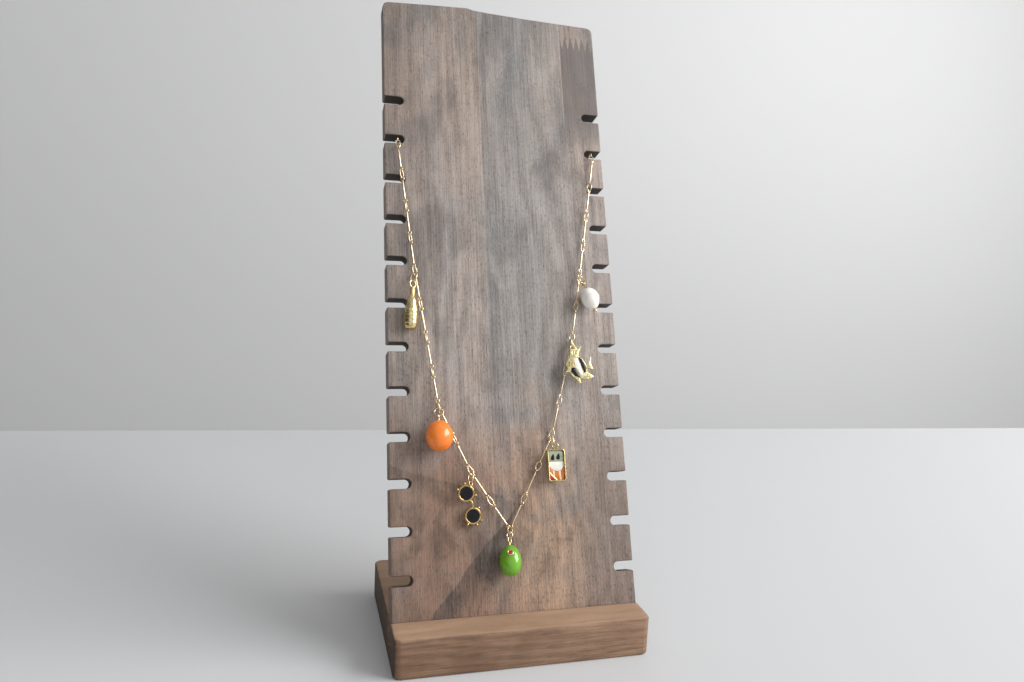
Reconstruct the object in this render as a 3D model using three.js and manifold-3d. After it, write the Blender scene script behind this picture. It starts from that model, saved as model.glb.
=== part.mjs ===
// A charm necklace on its display stand: a notched wooden board leans in a block base, and a
// bar-link chain with seven charms hangs through the second pair of notches.
// Units are millimetres, +Z is up, and a viewer in front looks along +Y.
// The origin is the centre of the base's underside.

import * as THREE from 'three';
import { mergeVertices } from 'three/addons/utils/BufferGeometryUtils.js';
import Module from 'manifold-3d';

const wasm = await Module();
wasm.setup();

// ---------------------------------------------------------------- driving dimensions

const DEG = Math.PI / 180;
const FIT_GAP = 0.3; // clear space between neighbouring pieces
const INLAY_GAP = 0.1; // clear space round an enamel inlay
const BITE = 0.1; // how far one soldered piece reaches into the other's wire
const OVERCUT = 1; // how far a cutting tool runs on past the skin
const WELD = 1e-4; // corners closer than this are one
const CORNER_STEPS = 2; // flats round a rounded corner or a notch's end

const BASE = { width: 101, depth: 72, height: 15.5, cornerRadius: 2.2, edge: 0.9 };

const BOARD = {
  width: 100,
  thickness: 7.3,
  lean: 20.4 * DEG,
  ledge: 13.4, // from the base's front to the board's face
  foot: 8, // length of board that stands in the groove
  cornerRadius: 2.4,
};

// The hand-sawn top, from left to right: x across the board, z up its face from the base.
const BOARD_TOP = [
  { x: -47.6, z: 264.6 },
  { x: -28.5, z: 265.8 },
  { x: -11.4, z: 266.7 },
  { x: -8.0, z: 265.9 },
  { x: 0.0, z: 265.4 },
  { x: 17.0, z: 264.8 },
  { x: 47.6, z: 264.2 },
];

const NOTCH = { count: 12, pitch: 18.33, height: 3.8, depth: 8.5, highest: 218.2, used: 1 };

// Chain: a bar with an eye at each end, then a small oval ring, and so on.
const LINK = {
  bar: 9.97, // eye centre to eye centre
  rod: 0.36, // radius of the bar
  eye: 0.7, // centreline radius of an eye
  eyeWire: 0.25, // wire radius of an eye
  ringWidth: 1.05, // half width of a ring's centreline
  ringWire: 0.225, // wire radius of a ring
  reach: 2.2, // from a ring's centre to the eye that it holds
  solder: 0.05, // length of the solder between a ring and an eye
  lift: 1.55, // chain's centre line above the board's face
  roll: -25 * DEG, // how far the eyes are rolled from lying flat
  sway: 8 * DEG, // how much that roll varies from bar to bar
  swayStep: 2.4, // radians of its wave for each bar
  grams: 0.02,
  steps: 10, // flats round an eye or a ring
  sides: 5, // flats round its wire
};
const FRONT_BARS = 24;
const BACK_BARS = 3; // hanging bars on each side of the clasp
const BACK_ROLL = { first: 70, step: 35 }; // degrees that the hanging bars are rolled, from the notch down

// The round ring at the bottom: it is soldered to the left chain and hooks the right one, whose
// eye leaves it clear. `spread` is each eye's turn from straight up.
const LOWEST = { radius: 1.45, spread: 37 * DEG, reachRight: 1.52 };

// Where the chain passes a notch: its eye at the face and its eye behind the board.
const PASS = { x: 44.4, y: -0.35, above: 1.4, backX: 42.9 };

// The clasp: a plain ring with a small eye. Its grams set how the chain behind the board hangs.
const CLASP = { radius: 3.0, wire: 0.5, steps: 12, sides: 6, eye: 1.0, eyeWire: 0.35, grams: 0.1 };

// Charms, by the chain joint that each hangs from. `turn` rolls that joint's ring about the
// chain, from lying flat. The jump ring has half length `ring` and half width `width`, and hangs
// from straight down the board by `side` to the right and `out` off the board. `loop` is the
// radius of the charm's own loop, and `lean` and `tip` are its body's turn to the right and out.
// `slack` is the clear space where the jump ring goes through it, if that is not HANG_GAP.
const CHARMS = {
  bottle: {
    joint: 4, grams: 2.3, turn: 30, ring: 2.8, width: 2.1,
    side: -11, out: 17, loop: 1.5, lean: -4, tip: -1,
  },
  orange: {
    joint: 8, grams: 4.0, turn: 75, ring: 2.05, width: 1.9,
    side: -9, out: 22, loop: 0.8, lean: -3, tip: 18,
  },
  sunglasses: {
    joint: 10, grams: 0.5, turn: 28, ring: 2.5, width: 1.7,
    side: -8, out: 26, loop: 0.95, lean: 17, tip: -8,
  },
  olive: {
    joint: 12, grams: 3.0, turn: 35, ring: 1.75, width: 1.4,
    side: -12, out: 22, loop: 1.05, lean: -3, tip: 11,
  },
  tin: {
    joint: 15, grams: 1.45, turn: 28, ring: 2.1, width: 1.6,
    side: 7, out: 20, loop: 1.25, lean: 0, tip: 1,
  },
  fish: {
    joint: 18, grams: 1.5, turn: 26, ring: 2.25, width: 2.05,
    side: -10, out: 20, loop: 1.25, lean: 0, tip: 8, slack: 0.45,
  },
  pearl: {
    joint: 20, grams: 0.1, turn: 75, ring: 2.15, width: 1.8,
    side: 12, out: 24, loop: 0.8, lean: 17, tip: 8,
  },
};
const JUMP_WIRE = 0.26; // wire radius of the jump rings
const LOOP_WIRE = 0.28; // wire radius of a charm's own loop
const HANG_GAP = 0.1; // clear space between two wires that hang on each other
const SLIDE = 0.6; // how far a jump ring has slid down inside its joint ring

// ---------------------------------------------------------------- materials

function finish(color, roughness, metalness) {
  return new THREE.MeshStandardMaterial({ color, roughness, metalness });
}

const WOOD = finish('#75685e', 0.75, 0);
const BASE_WOOD = finish('#7a5f4c', 0.75, 0);
const GOLD = finish('#e2c06a', 0.25, 1);
const ORANGE = finish('#e8732a', 0.2, 0);
const OLIVE = finish('#4f9a1c', 0.2, 0);
const BLACK = finish('#17161c', 0.2, 0);
const WHITE = finish('#f2efe6', 0.3, 0);
const SILVER = finish('#b4bda6', 0.4, 0.3);
const AMBER = finish('#c8742c', 0.3, 0);
const YELLOW = finish('#e3b93a', 0.3, 0);
const RED = finish('#b5304a', 0.3, 0);
const PEARL = finish('#f3efe4', 0.3, 0);

// ---------------------------------------------------------------- shape helpers

const vec = (x, y, z) => new THREE.Vector3(x, y, z);

/** The vertices of a geometry welded by position alone, so that it is one closed body. */
function welded(geometry) {
  const bare = geometry.index ? geometry.toNonIndexed() : geometry.clone();
  for (const name of Object.keys(bare.attributes)) {
    if (name !== 'position') bare.deleteAttribute(name);
  }
  return mergeVertices(bare, WELD);
}

function toManifold(geometry) {
  const solid = welded(geometry);
  const vertProperties = new Float32Array(solid.attributes.position.array);
  const triVerts = new Uint32Array(solid.index.array);
  return new wasm.Manifold(new wasm.Mesh({ numProp: 3, vertProperties, triVerts }));
}

function fromManifold(solid) {
  const mesh = solid.getMesh();
  const geometry = new THREE.BufferGeometry();
  geometry.setAttribute('position', new THREE.BufferAttribute(mesh.vertProperties, 3));
  geometry.setIndex(new THREE.BufferAttribute(mesh.triVerts, 1));
  return geometry;
}

/** One body from several that overlap. */
function fused(geometries) {
  return fromManifold(wasm.Manifold.union(geometries.map(toManifold)));
}

function cut(geometry, tool) {
  return fromManifold(toManifold(geometry).subtract(toManifold(tool)));
}

/** A body that grows corner by corner, so that its links share one closed skin. */
const emptySkin = () => ({ positions: [], index: [] });

function skinGeometry(skin) {
  const geometry = new THREE.BufferGeometry();
  geometry.setAttribute('position', new THREE.Float32BufferAttribute(skin.positions, 3));
  geometry.setIndex(skin.index);
  return geometry;
}

/** The frame at `origin` whose X and Z axes go along `axis` and `normal`. */
function frameAt(origin, axis, normal) {
  const x = axis.clone().normalize();
  const y = normal.clone().cross(x).normalize();
  return new THREE.Matrix4().makeBasis(x, y, x.clone().cross(y)).setPosition(origin);
}

function addCorner(skin, frame, x, y, z) {
  skin.positions.push(...vec(x, y, z).applyMatrix4(frame).toArray());
  return skin.positions.length / 3 - 1;
}

/**
 * Adds a wire ring or oval in the frame's XY plane, with half length along X and half width
 * along Y. A flat lies across X at each end. `holes` says which flats (0 is at +X) are left open,
 * and on which side of the wire, and the open corners are given back.
 */
function addWireRing(skin, frame, halfLength, halfWidth, wire, steps, sides, holes = []) {
  const corners = [];
  for (let i = 0; i < steps; i += 1) {
    const t = ((i - 0.5) / steps) * 2 * Math.PI;
    const outward = vec(halfWidth * Math.cos(t), halfLength * Math.sin(t), 0).normalize();
    const row = [];
    for (let j = 0; j < sides; j += 1) {
      const s = (j / sides) * 2 * Math.PI;
      const x = halfLength * Math.cos(t) + wire * Math.cos(s) * outward.x;
      const y = halfWidth * Math.sin(t) + wire * Math.cos(s) * outward.y;
      row.push(addCorner(skin, frame, x, y, wire * Math.sin(s)));
    }
    corners.push(row);
  }
  const at = (i, j) => corners[i % steps][(j + sides) % sides];
  for (let i = 0; i < steps; i += 1) {
    for (let j = 0; j < sides; j += 1) {
      if (holes.some((hole) => hole.flat === i && hole.side.includes(j))) continue;
      skin.index.push(at(i, j), at(i + 1, j + 1), at(i, j + 1));
      skin.index.push(at(i, j), at(i + 1, j), at(i + 1, j + 1));
    }
  }
  return holes.map(({ flat, side }) => {
    const there = side.map((j) => at(flat + 1, j));
    const back = side.map((j) => at(flat, j + 1)).reverse();
    const [first, last] = [side[0], side.at(-1) + 1];
    return [at(flat, first), ...there, at(flat + 1, last), ...back];
  });
}

const INNER = [2]; // the side of a five-sided wire that faces the ring's own middle
const OUTER = [4, 0]; // the two sides that face out

/** Joins two open mouths that have corners in the same order. */
function extend(skin, mouth, next) {
  mouth.forEach((a, k) => {
    const n = (k + 1) % mouth.length;
    skin.index.push(a, mouth[n], next[n], a, next[n], next[k]);
  });
}

/** Joins two open mouths that face each other, with the least twist. */
function bridge(skin, mouth, facing) {
  const count = mouth.length;
  const place = (corner) => vec(...skin.positions.slice(3 * corner, 3 * corner + 3));
  const turned = (shift) => mouth.map((_, k) => facing[(shift - k + 2 * count) % count]);
  const reach = (corner, k) => place(corner).distanceTo(place(mouth[k]));
  const spread = (ring) => ring.reduce((sum, corner, k) => sum + reach(corner, k), 0);
  const options = mouth.map((_, shift) => turned(shift));
  options.sort((a, b) => spread(a) - spread(b));
  extend(skin, mouth, options[0]);
}

/**
 * Adds a bar link from eye centre to eye centre: two eyes, and a six-sided rod that grows out of
 * them. `open` says which of its eyes are left open where they are soldered to a ring.
 */
function addBar(skin, start, finish, normal, open) {
  const solders = [];
  const necks = [];
  [[start, finish], [finish, start]].forEach(([eye, other], end) => {
    const frame = frameAt(eye, other.clone().sub(eye), normal);
    const holes = [{ flat: 0, side: OUTER }];
    if (open[end]) holes.push({ flat: LINK.steps / 2, side: INNER });
    const [mouth, solder] = addWireRing(
      skin, frame, LINK.eye, LINK.eye, LINK.eyeWire, LINK.steps, LINK.sides, holes,
    );
    const from = LINK.eye + LINK.eyeWire + LINK.rod;
    const neck = mouth.map((_, k) => {
      const s = (60 * k - 120) * DEG;
      return addCorner(skin, frame, from, LINK.rod * Math.cos(s), LINK.rod * Math.sin(s));
    });
    extend(skin, mouth, neck);
    necks.push(neck);
    solders.push(solder);
  });
  bridge(skin, necks[0], necks[1]);
  return solders;
}

/** A wire ring by itself, with its plane across `normal` and its length along `axis`. */
function wireRing(
  origin, axis, normal, halfLength, halfWidth, wire, steps = LINK.steps, sides = LINK.sides,
) {
  const skin = emptySkin();
  addWireRing(skin, frameAt(origin, axis, normal), halfLength, halfWidth, wire, steps, sides);
  return skinGeometry(skin);
}

// ---------------------------------------------------------------- the stand

/** A box with rounded upright corners and eased top and bottom edges, standing on z = 0. */
function easedBlock(width, depth, height, radius, edge) {
  const w = width / 2 - edge;
  const d = depth / 2 - edge;
  const r = radius;
  const outline = new THREE.Shape();
  outline.moveTo(-w + r, -d);
  outline.lineTo(w - r, -d);
  outline.absarc(w - r, -d + r, r, -Math.PI / 2, 0);
  outline.lineTo(w, d - r);
  outline.absarc(w - r, d - r, r, 0, Math.PI / 2);
  outline.lineTo(-w + r, d);
  outline.absarc(-w + r, d - r, r, Math.PI / 2, Math.PI);
  outline.lineTo(-w, -d + r);
  outline.absarc(-w + r, -d + r, r, Math.PI, 1.5 * Math.PI);
  const geometry = new THREE.ExtrudeGeometry(outline, {
    depth: height - 2 * edge,
    bevelThickness: edge,
    bevelSize: edge,
    bevelSegments: 1,
    curveSegments: CORNER_STEPS,
  });
  return geometry.translate(0, 0, edge);
}

/** The frame that leans back with the board: X right, Z up the board's face, Y into the wood. */
const leaning = new THREE.Group();
leaning.position.set(0, -BASE.depth / 2 + BOARD.ledge, BASE.height);
leaning.rotation.x = -BOARD.lean;
leaning.updateMatrixWorld(true);

/** The block, with a groove sawn through its top from end to end along the board's slant. */
function displayBase() {
  const block = easedBlock(BASE.width, BASE.depth, BASE.height, BASE.cornerRadius, BASE.edge);
  const height = 3 * BOARD.foot;
  const groove = new THREE.BoxGeometry(2 * BASE.width, BOARD.thickness + 2 * FIT_GAP, height);
  groove.translate(0, BOARD.thickness / 2, height / 2 - BOARD.foot);
  groove.applyMatrix4(leaning.matrixWorld);
  return cut(block, groove);
}

const notchTop = (row) => NOTCH.highest - NOTCH.pitch * row;

/** The board's outline in its own plane, then its thickness behind the face. */
function displayBoard() {
  const half = BOARD.width / 2;
  const bottom = -BOARD.foot + FIT_GAP;
  const r = NOTCH.height / 2;
  const outline = new THREE.Shape();
  outline.moveTo(half, bottom);
  for (let row = NOTCH.count - 1; row >= 0; row -= 1) {
    const z = notchTop(row) - r;
    outline.lineTo(half, z - r);
    outline.absarc(half - NOTCH.depth + r, z, r, -Math.PI / 2, -1.5 * Math.PI, true);
    outline.lineTo(half, z + r);
  }
  const top = BOARD_TOP.at(-1);
  outline.lineTo(half, top.z - BOARD.cornerRadius);
  [...BOARD_TOP].reverse().forEach((p) => outline.lineTo(p.x, p.z));
  outline.lineTo(-half, BOARD_TOP[0].z - BOARD.cornerRadius);
  for (let row = 0; row < NOTCH.count; row += 1) {
    const z = notchTop(row) - r;
    outline.lineTo(-half, z + r);
    outline.absarc(-half + NOTCH.depth - r, z, r, Math.PI / 2, -Math.PI / 2, true);
    outline.lineTo(-half, z - r);
  }
  outline.lineTo(-half, bottom);
  const geometry = new THREE.ExtrudeGeometry(outline, {
    depth: BOARD.thickness,
    bevelEnabled: false,
    curveSegments: CORNER_STEPS,
  });
  return geometry.rotateX(Math.PI / 2).translate(0, BOARD.thickness, 0);
}

// ---------------------------------------------------------------- the chain's path

// How the two end pulls are found: the first guesses and the trial step are shares of the whole
// load, and one round changes the pull by no more than `most` of itself.
const SOLVER = { pull: 0.15, lift: 0.5, step: 1e-5, rounds: 60, most: 0.3 };

/**
 * Where the joints of a hanging line come to rest between two fixed ends. Each inner joint
 * carries a load. The pull along X is the same all the way, and the pull along Z drops by each
 * load, which gives every segment its direction. Newton's method finds the two end pulls.
 */
function hang(start, end, lengths, loads) {
  const trace = (pull, lift) => {
    const joints = [start.clone()];
    let down = lift;
    lengths.forEach((length, i) => {
      const force = Math.hypot(pull, down);
      joints.push(joints[i].clone().add(vec((length * pull) / force, 0, (-length * down) / force)));
      down -= loads[i] ?? 0;
    });
    return joints;
  };
  const total = loads.reduce((sum, load) => sum + load, 0);
  const step = total * SOLVER.step;
  let pull = total * SOLVER.pull;
  let lift = total * SOLVER.lift;
  for (let round = 0; round < SOLVER.rounds; round += 1) {
    const miss = trace(pull, lift).at(-1).sub(end);
    const byPull = trace(pull + step, lift).at(-1).sub(end).sub(miss).divideScalar(step);
    const byLift = trace(pull, lift + step).at(-1).sub(end).sub(miss).divideScalar(step);
    const det = byPull.x * byLift.z - byPull.z * byLift.x;
    const dPull = (miss.x * byLift.z - miss.z * byLift.x) / det;
    const dLift = (byPull.x * miss.z - byPull.z * miss.x) / det;
    const ease = Math.min(1, (SOLVER.most * pull) / Math.abs(dPull));
    pull -= ease * dPull;
    lift -= ease * dLift;
  }
  return trace(pull, lift);
}

const OUT = vec(0, -1, 0); // off the board's face, in the leaning frame
const along = (a, b) => b.clone().sub(a).normalize();

/** A direction across the chain's run `axis`, rolled by `angle` from the direction `up`. */
function rolled(axis, angle, up) {
  const side = up.clone().cross(axis).normalize();
  const normal = axis.clone().cross(side).normalize();
  return normal.multiplyScalar(Math.cos(angle)).addScaledVector(side, Math.sin(angle));
}

// Bars whose roll is set by the ring or the notch that they end at.
const SET_ROLLS = { 1: -65, 12: -60, 13: 60, 14: -75, 24: -65 };

const charmAt = (joint) => Object.values(CHARMS).find((charm) => charm.joint === joint);

/** How far the eyes of front bar `i` are rolled; a charm's ring stands square to its two bars. */
function frontRoll(i) {
  if (SET_ROLLS[i] !== undefined) return SET_ROLLS[i] * DEG;
  const charm = charmAt(i - 1) ?? charmAt(i);
  if (charm) return (charm.turn - 90) * DEG;
  return LINK.roll + LINK.sway * Math.sin(LINK.swayStep * i);
}

/** The chain's ends at the face: the eye in the notch, and the first eye below its lip. */
const passZ = notchTop(NOTCH.used) - NOTCH.height + PASS.above;
const passDrop = Math.sqrt((2 * LINK.reach) ** 2 - (LINK.lift + PASS.y) ** 2);
const faceEye = (side) => vec(side * PASS.x, PASS.y, passZ);
const firstEye = (side) => vec(side * PASS.x, -LINK.lift, passZ - passDrop);
const behindEye = (side) => {
  const inward = PASS.x - PASS.backX;
  return faceEye(side).add(vec(-side * inward, Math.sqrt(LINK.bar ** 2 - inward ** 2), 0));
};

// Flats shorten a ring's own half length and a wire's own thickness by these shares.
const FLAT = Math.cos(Math.PI / LINK.steps);
const WIRE_FLAT = Math.cos(Math.PI / LINK.sides);
const solderSpan = (LINK.eyeWire + LINK.ringWire) * WIRE_FLAT + LINK.solder;
const ringLength = (LINK.reach - LINK.eye * FLAT + solderSpan) / FLAT;
const lowestReachLeft = LOWEST.radius * FLAT - solderSpan + LINK.eye * FLAT;

/** The front's joints 0 to 24: the ends are eyes, and the others are ring centres. */
const BOTTOM = CHARMS.olive.joint;
const frontJoints = (() => {
  const lengths = [];
  const loads = [];
  const reach = (joint, lowest) => {
    if (joint === 0 || joint === FRONT_BARS) return 0;
    return joint === BOTTOM ? lowest : LINK.reach;
  };
  for (let i = 1; i <= FRONT_BARS; i += 1) {
    lengths.push(reach(i - 1, LOWEST.reachRight) + LINK.bar + reach(i, lowestReachLeft));
    loads.push(LINK.grams + (charmAt(i)?.grams ?? 0));
  }
  return hang(firstEye(-1), firstEye(1), lengths, loads.slice(0, -1));
})();

const barAxis = (i) => along(frontJoints[i - 1], frontJoints[i]);

/** The lowest ring's plane: its normal, and its own directions to the right and to each eye. */
const UP = vec(0, 0, 1);
const lowestNormal = rolled(UP.clone().negate(), CHARMS.olive.turn * DEG, OUT);
const lowestRight = UP.clone().cross(lowestNormal);
const lowestToEye = (side) => {
  const right = lowestRight.clone().multiplyScalar(side * Math.sin(LOWEST.spread));
  return right.addScaledVector(UP, Math.cos(LOWEST.spread));
};

/** The centre of the eye where front bar `i` starts or ends. */
function frontEye(i, atStart) {
  const joint = atStart ? i - 1 : i;
  const centre = frontJoints[joint].clone();
  if (joint === 0 || joint === FRONT_BARS) return centre;
  if (joint === BOTTOM) {
    const reach = atStart ? LOWEST.reachRight : lowestReachLeft;
    return centre.addScaledVector(lowestToEye(atStart ? 1 : -1), reach);
  }
  return centre.addScaledVector(barAxis(i), atStart ? LINK.reach : -LINK.reach);
}

/** The roll of the ring between front bars `i` and `i + 1`: square to both as nearly as can be. */
function jointRoll(i) {
  if (charmAt(i)) return charmAt(i).turn * DEG;
  const before = frontRoll(i);
  const apart = frontRoll(i + 1) - before;
  const halfTurns = Math.round(apart / Math.PI);
  return before + (apart - Math.PI * halfTurns) / 2 + Math.PI / 2;
}

// Behind the board the chain hangs in an upright plane. Its eyes run from the left notch's eye
// to the right one's; the clasp's ring and eye lie between the two middle bars.
const WORLD_OUT = vec(0, -1, 0);
const toClasp = ringLength * FLAT - LINK.ringWire - CLASP.wire - 2 * HANG_GAP;
const claspReach = CLASP.radius * Math.cos(Math.PI / CLASP.steps);
const claspEye = claspReach + CLASP.wire + CLASP.eye - BITE;
const claspHook = CLASP.eye * FLAT + ringLength * FLAT - LINK.ringWire - CLASP.eyeWire - HANG_GAP;
const backEyes = (() => {
  const side = Array.from({ length: BACK_BARS }, () => [2 * LINK.reach, LINK.bar]).flat();
  const middle = [LINK.reach + toClasp, claspReach + claspEye, claspHook + LINK.reach];
  const lengths = [...side, ...middle, ...[...side].reverse()];
  const loads = lengths.slice(0, -1).map((_, i) => {
    const atClasp = i === side.length || i === side.length + 1;
    return (atClasp ? CLASP.grams : LINK.grams) / 2;
  });
  const [left, right] = [-1, 1].map((end) => leaning.localToWorld(behindEye(end)));
  return hang(left, right, lengths, loads);
})();

// ---------------------------------------------------------------- the chain's two halves

/**
 * One half of the chain as one soldered body, from the lowest ring up the board, through its
 * notch and on to the clasp. A link is a bar or a ring between two points, with the direction
 * that its plane faces.
 */
function chainHalf(side) {
  const skin = emptySkin();
  const toLeaning = leaning.matrixWorld.clone().invert();
  const local = (point) => point.clone().applyMatrix4(toLeaning);
  const localOut = WORLD_OUT.clone().transformDirection(toLeaning);
  let pending = null; // the last link's open mouth, which the next link is soldered to

  const bar = (start, finish, roll, up, soldered = [true, true]) => {
    const normal = rolled(along(start, finish), roll, up);
    const [first, last] = addBar(skin, start, finish, normal, soldered);
    if (pending) bridge(skin, pending, first);
    pending = last;
  };
  const ring = (start, finish, roll, up, soldered = [true, true]) => {
    const normal = rolled(along(start, finish), roll, up);
    const frame = frameAt(start.clone().add(finish).multiplyScalar(0.5), along(start, finish), normal);
    const holes = [{ flat: LINK.steps / 2, side: INNER }];
    if (soldered[1]) holes.push({ flat: 0, side: INNER });
    const [first, last] = addWireRing(
      skin, frame, ringLength, LINK.ringWidth, LINK.ringWire, LINK.steps, LINK.sides, holes,
    );
    bridge(skin, pending, first);
    pending = last;
  };

  // Up the front. The left half starts with the lowest ring, and the right half with a free eye.
  if (side < 0) {
    const frame = frameAt(frontJoints[BOTTOM], lowestToEye(-1), lowestNormal);
    const hole = { flat: 0, side: INNER };
    [pending] = addWireRing(
      skin, frame, LOWEST.radius, LOWEST.radius, LINK.ringWire, LINK.steps, LINK.sides, [hole],
    );
  }
  for (let step = 0; step < FRONT_BARS / 2; step += 1) {
    const i = side < 0 ? BOTTOM - step : BOTTOM + 1 + step;
    const free = side > 0 && step === 0;
    bar(frontEye(i, side > 0), frontEye(i, side < 0), side * frontRoll(i), OUT, [!free, true]);
    if (step === FRONT_BARS / 2 - 1) break;
    const next = i + side;
    const joint = side < 0 ? next : i;
    ring(frontEye(i, side < 0), frontEye(next, side > 0), side * jointRoll(joint), OUT);
  }

  // Over the notch's lip, through the board, and down behind it to the clasp.
  ring(firstEye(side), faceEye(side), 0, OUT);
  bar(faceEye(side), behindEye(side), Math.PI / 2, UP);
  const eyes = (side < 0 ? backEyes : [...backEyes].reverse()).map(local);
  const roll = (i) => -(BACK_ROLL.first - BACK_ROLL.step * i) * DEG;
  for (let i = 0; i < BACK_BARS; i += 1) {
    const [before, start, finish] = eyes.slice(2 * i);
    ring(before, start, i === 0 ? 0 : (roll(i - 1) + roll(i)) / 2 + Math.PI / 2, localOut);
    bar(start, finish, roll(i), localOut);
  }
  const [last, towards] = eyes.slice(2 * BACK_BARS);
  const end = last.clone().addScaledVector(along(last, towards), 2 * LINK.reach);
  ring(last, end, Math.PI / 2, localOut, [true, false]);
  return skinGeometry(skin);
}

/** The clasp, in the plane that the chain hangs in: a plain ring with a small eye beside it. */
function clasp() {
  const [start, towards] = backEyes.slice(2 * BACK_BARS + 1);
  const axis = along(start, towards);
  const centre = start.clone().addScaledVector(axis, claspReach);
  const ring = wireRing(
    centre, axis, WORLD_OUT, CLASP.radius, CLASP.radius, CLASP.wire, CLASP.steps, CLASP.sides,
  );
  const eyeCentre = centre.clone().addScaledVector(axis, claspEye);
  const eye = wireRing(eyeCentre, axis, WORLD_OUT, CLASP.eye, CLASP.eye, CLASP.eyeWire);
  return fused([ring, eye]).applyMatrix4(leaning.matrixWorld.clone().invert());
}

// ---------------------------------------------------------------- how a charm hangs

/** Straight down, turned by `side` degrees to the right and `out` degrees off the board. */
function downward(side, out) {
  const flat = Math.cos(out * DEG);
  return vec(Math.sin(side * DEG) * flat, -Math.sin(out * DEG), -Math.cos(side * DEG) * flat);
}

/** The part of `direction` that lies across `axis`. */
const across = (direction, axis) => direction.clone().projectOnPlane(axis).normalize();

/**
 * A charm's jump ring, which passes through its joint's ring, and the charm's own frame: the
 * origin is its loop's centre, Y is up the charm, and Z faces off the board. `pass` is the
 * jump ring's direction where it goes through the loop.
 */
function hanging(charm) {
  const ends = [frontEye(charm.joint, false), frontEye(charm.joint + 1, true)];
  const atBottom = charm.joint === BOTTOM;
  const centre = atBottom ? frontJoints[BOTTOM] : ends[0].clone().lerp(ends[1], 0.5);
  const jointNormal = atBottom ? lowestNormal : rolled(along(...ends), charm.turn * DEG, OUT);

  const down = downward(charm.side, charm.out);
  const pass = across(jointNormal, down);
  const reach = charm.ring * FLAT;
  const ringCentre = centre.clone().addScaledVector(down, SLIDE + reach);
  const normal = down.clone().cross(pass);
  const jumpRing = wireRing(ringCentre, down, normal, charm.ring, charm.width, JUMP_WIRE);

  const hooked = JUMP_WIRE + LOOP_WIRE + (charm.slack ?? HANG_GAP);
  const origin = ringCentre.clone().addScaledVector(down, reach - hooked + charm.loop * FLAT);
  const up = downward(charm.lean, charm.tip).negate();
  const front = across(OUT, up);
  const frame = new THREE.Matrix4().makeBasis(up.clone().cross(front), up, front).setPosition(origin);
  const localPass = across(pass, up).transformDirection(frame.clone().invert());
  return { jumpRing, frame, pass: localPass };
}

const MIDDLE = vec(0, 0, 0);
const FRONT = vec(0, 0, 1); // a charm's own front
const TOP = vec(0, 1, 0); // a charm's own upward direction

/** A charm's own loop, in its own frame. */
const ownLoop = (radius, normal) => wireRing(MIDDLE, TOP, normal, radius, radius, LOOP_WIRE);

/** A body of revolution about Y, from rows of { y, r } that run downward. */
function turned(rows, sides) {
  const points = [...rows].reverse().map(({ y, r }) => new THREE.Vector2(r, y));
  const bottom = new THREE.Vector2(0, points[0].y);
  const top = new THREE.Vector2(0, points.at(-1).y);
  return new THREE.LatheGeometry([bottom, ...points, top], sides);
}

/** An ellipsoid, `drop` below the loop's centre. */
function ellipsoid(width, height, drop, sides, rows) {
  const geometry = new THREE.SphereGeometry(1, sides, rows);
  return geometry.scale(width / 2, height / 2, width / 2).translate(0, -drop, 0);
}

/** A rod about Y between two heights. */
function rodBetween(low, high, radius, sides = 6) {
  return new THREE.CylinderGeometry(radius, radius, high - low, sides).translate(0, (low + high) / 2, 0);
}

/** A rod between two points. */
function rodFromTo(start, end, radius, sides = 6) {
  const turn = new THREE.Quaternion().setFromUnitVectors(TOP, along(start, end));
  const geometry = rodBetween(0, start.distanceTo(end), radius, sides);
  return geometry.applyQuaternion(turn).translate(...start.toArray());
}

/** A flat plate from an outline in the XY plane, between two heights along Z. */
function plate(outline, back, front, curveSegments = 3) {
  const options = { depth: front - back, bevelEnabled: false, curveSegments };
  return new THREE.ExtrudeGeometry(outline, options).translate(0, 0, back);
}

/** A closed outline through straight corners, each { x, y }, turning left. */
const polygon = (corners) => new THREE.Shape(corners.map(({ x, y }) => new THREE.Vector2(x, y)));

// ---------------------------------------------------------------- the charms

const CHARM_SIDES = 12;
const FRUIT_ROWS = 9;

// The bottle's outline, downward from the top of its neck.
const BOTTLE = [
  { down: 0.0, r: 0.8 },
  { down: 0.3, r: 0.95 },
  { down: 1.0, r: 0.95 },
  { down: 3.3, r: 1.07 },
  { down: 5.3, r: 1.75 },
  { down: 7.3, r: 2.3 },
  { down: 9.3, r: 2.6 },
  { down: 12.4, r: 2.8 },
  { down: 15.5, r: 2.75 },
  { down: 17.3, r: 2.3 },
  { down: 17.9, r: 1.6 },
];

function bottle(loop, pass) {
  const neckTop = BITE - loop;
  const body = turned(BOTTLE.map(({ down, r }) => ({ y: neckTop - down, r })), CHARM_SIDES);
  return { bottle: [fused([body, ownLoop(loop, pass)]), GOLD] };
}

// Round charms: `drop` is from the loop's centre to the body's.
const ORANGE_FRUIT = { width: 11.2, height: 12.4, drop: 8.4 };
const OLIVE_FRUIT = { width: 8.9, height: 12.2, drop: 7.9 };
const PEARL_DROP = { width: 7.8, height: 10.0, drop: 7.4, ball: 0.85, ballSides: 8, ballRows: 6 };
const PIN = { radius: 0.32, hole: 0.4, depth: 3.0 };

/** A fruit with a hole in its top, and the looped pin that stands in it. */
function pinnedFruit({ width, height, drop }, loop, pass) {
  const top = height / 2 - drop;
  const hole = rodBetween(top - PIN.depth - FIT_GAP, top + OVERCUT, PIN.hole);
  const fruit = cut(ellipsoid(width, height, drop, CHARM_SIDES, FRUIT_ROWS), hole);
  const stem = rodBetween(top - PIN.depth, BITE - loop, PIN.radius);
  return { fruit, pin: fused([ownLoop(loop, pass), stem]) };
}

function orange(loop, pass) {
  const { fruit, pin } = pinnedFruit(ORANGE_FRUIT, loop, pass);
  return { orange: [fruit, ORANGE], orange_pin: [pin, GOLD] };
}

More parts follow.
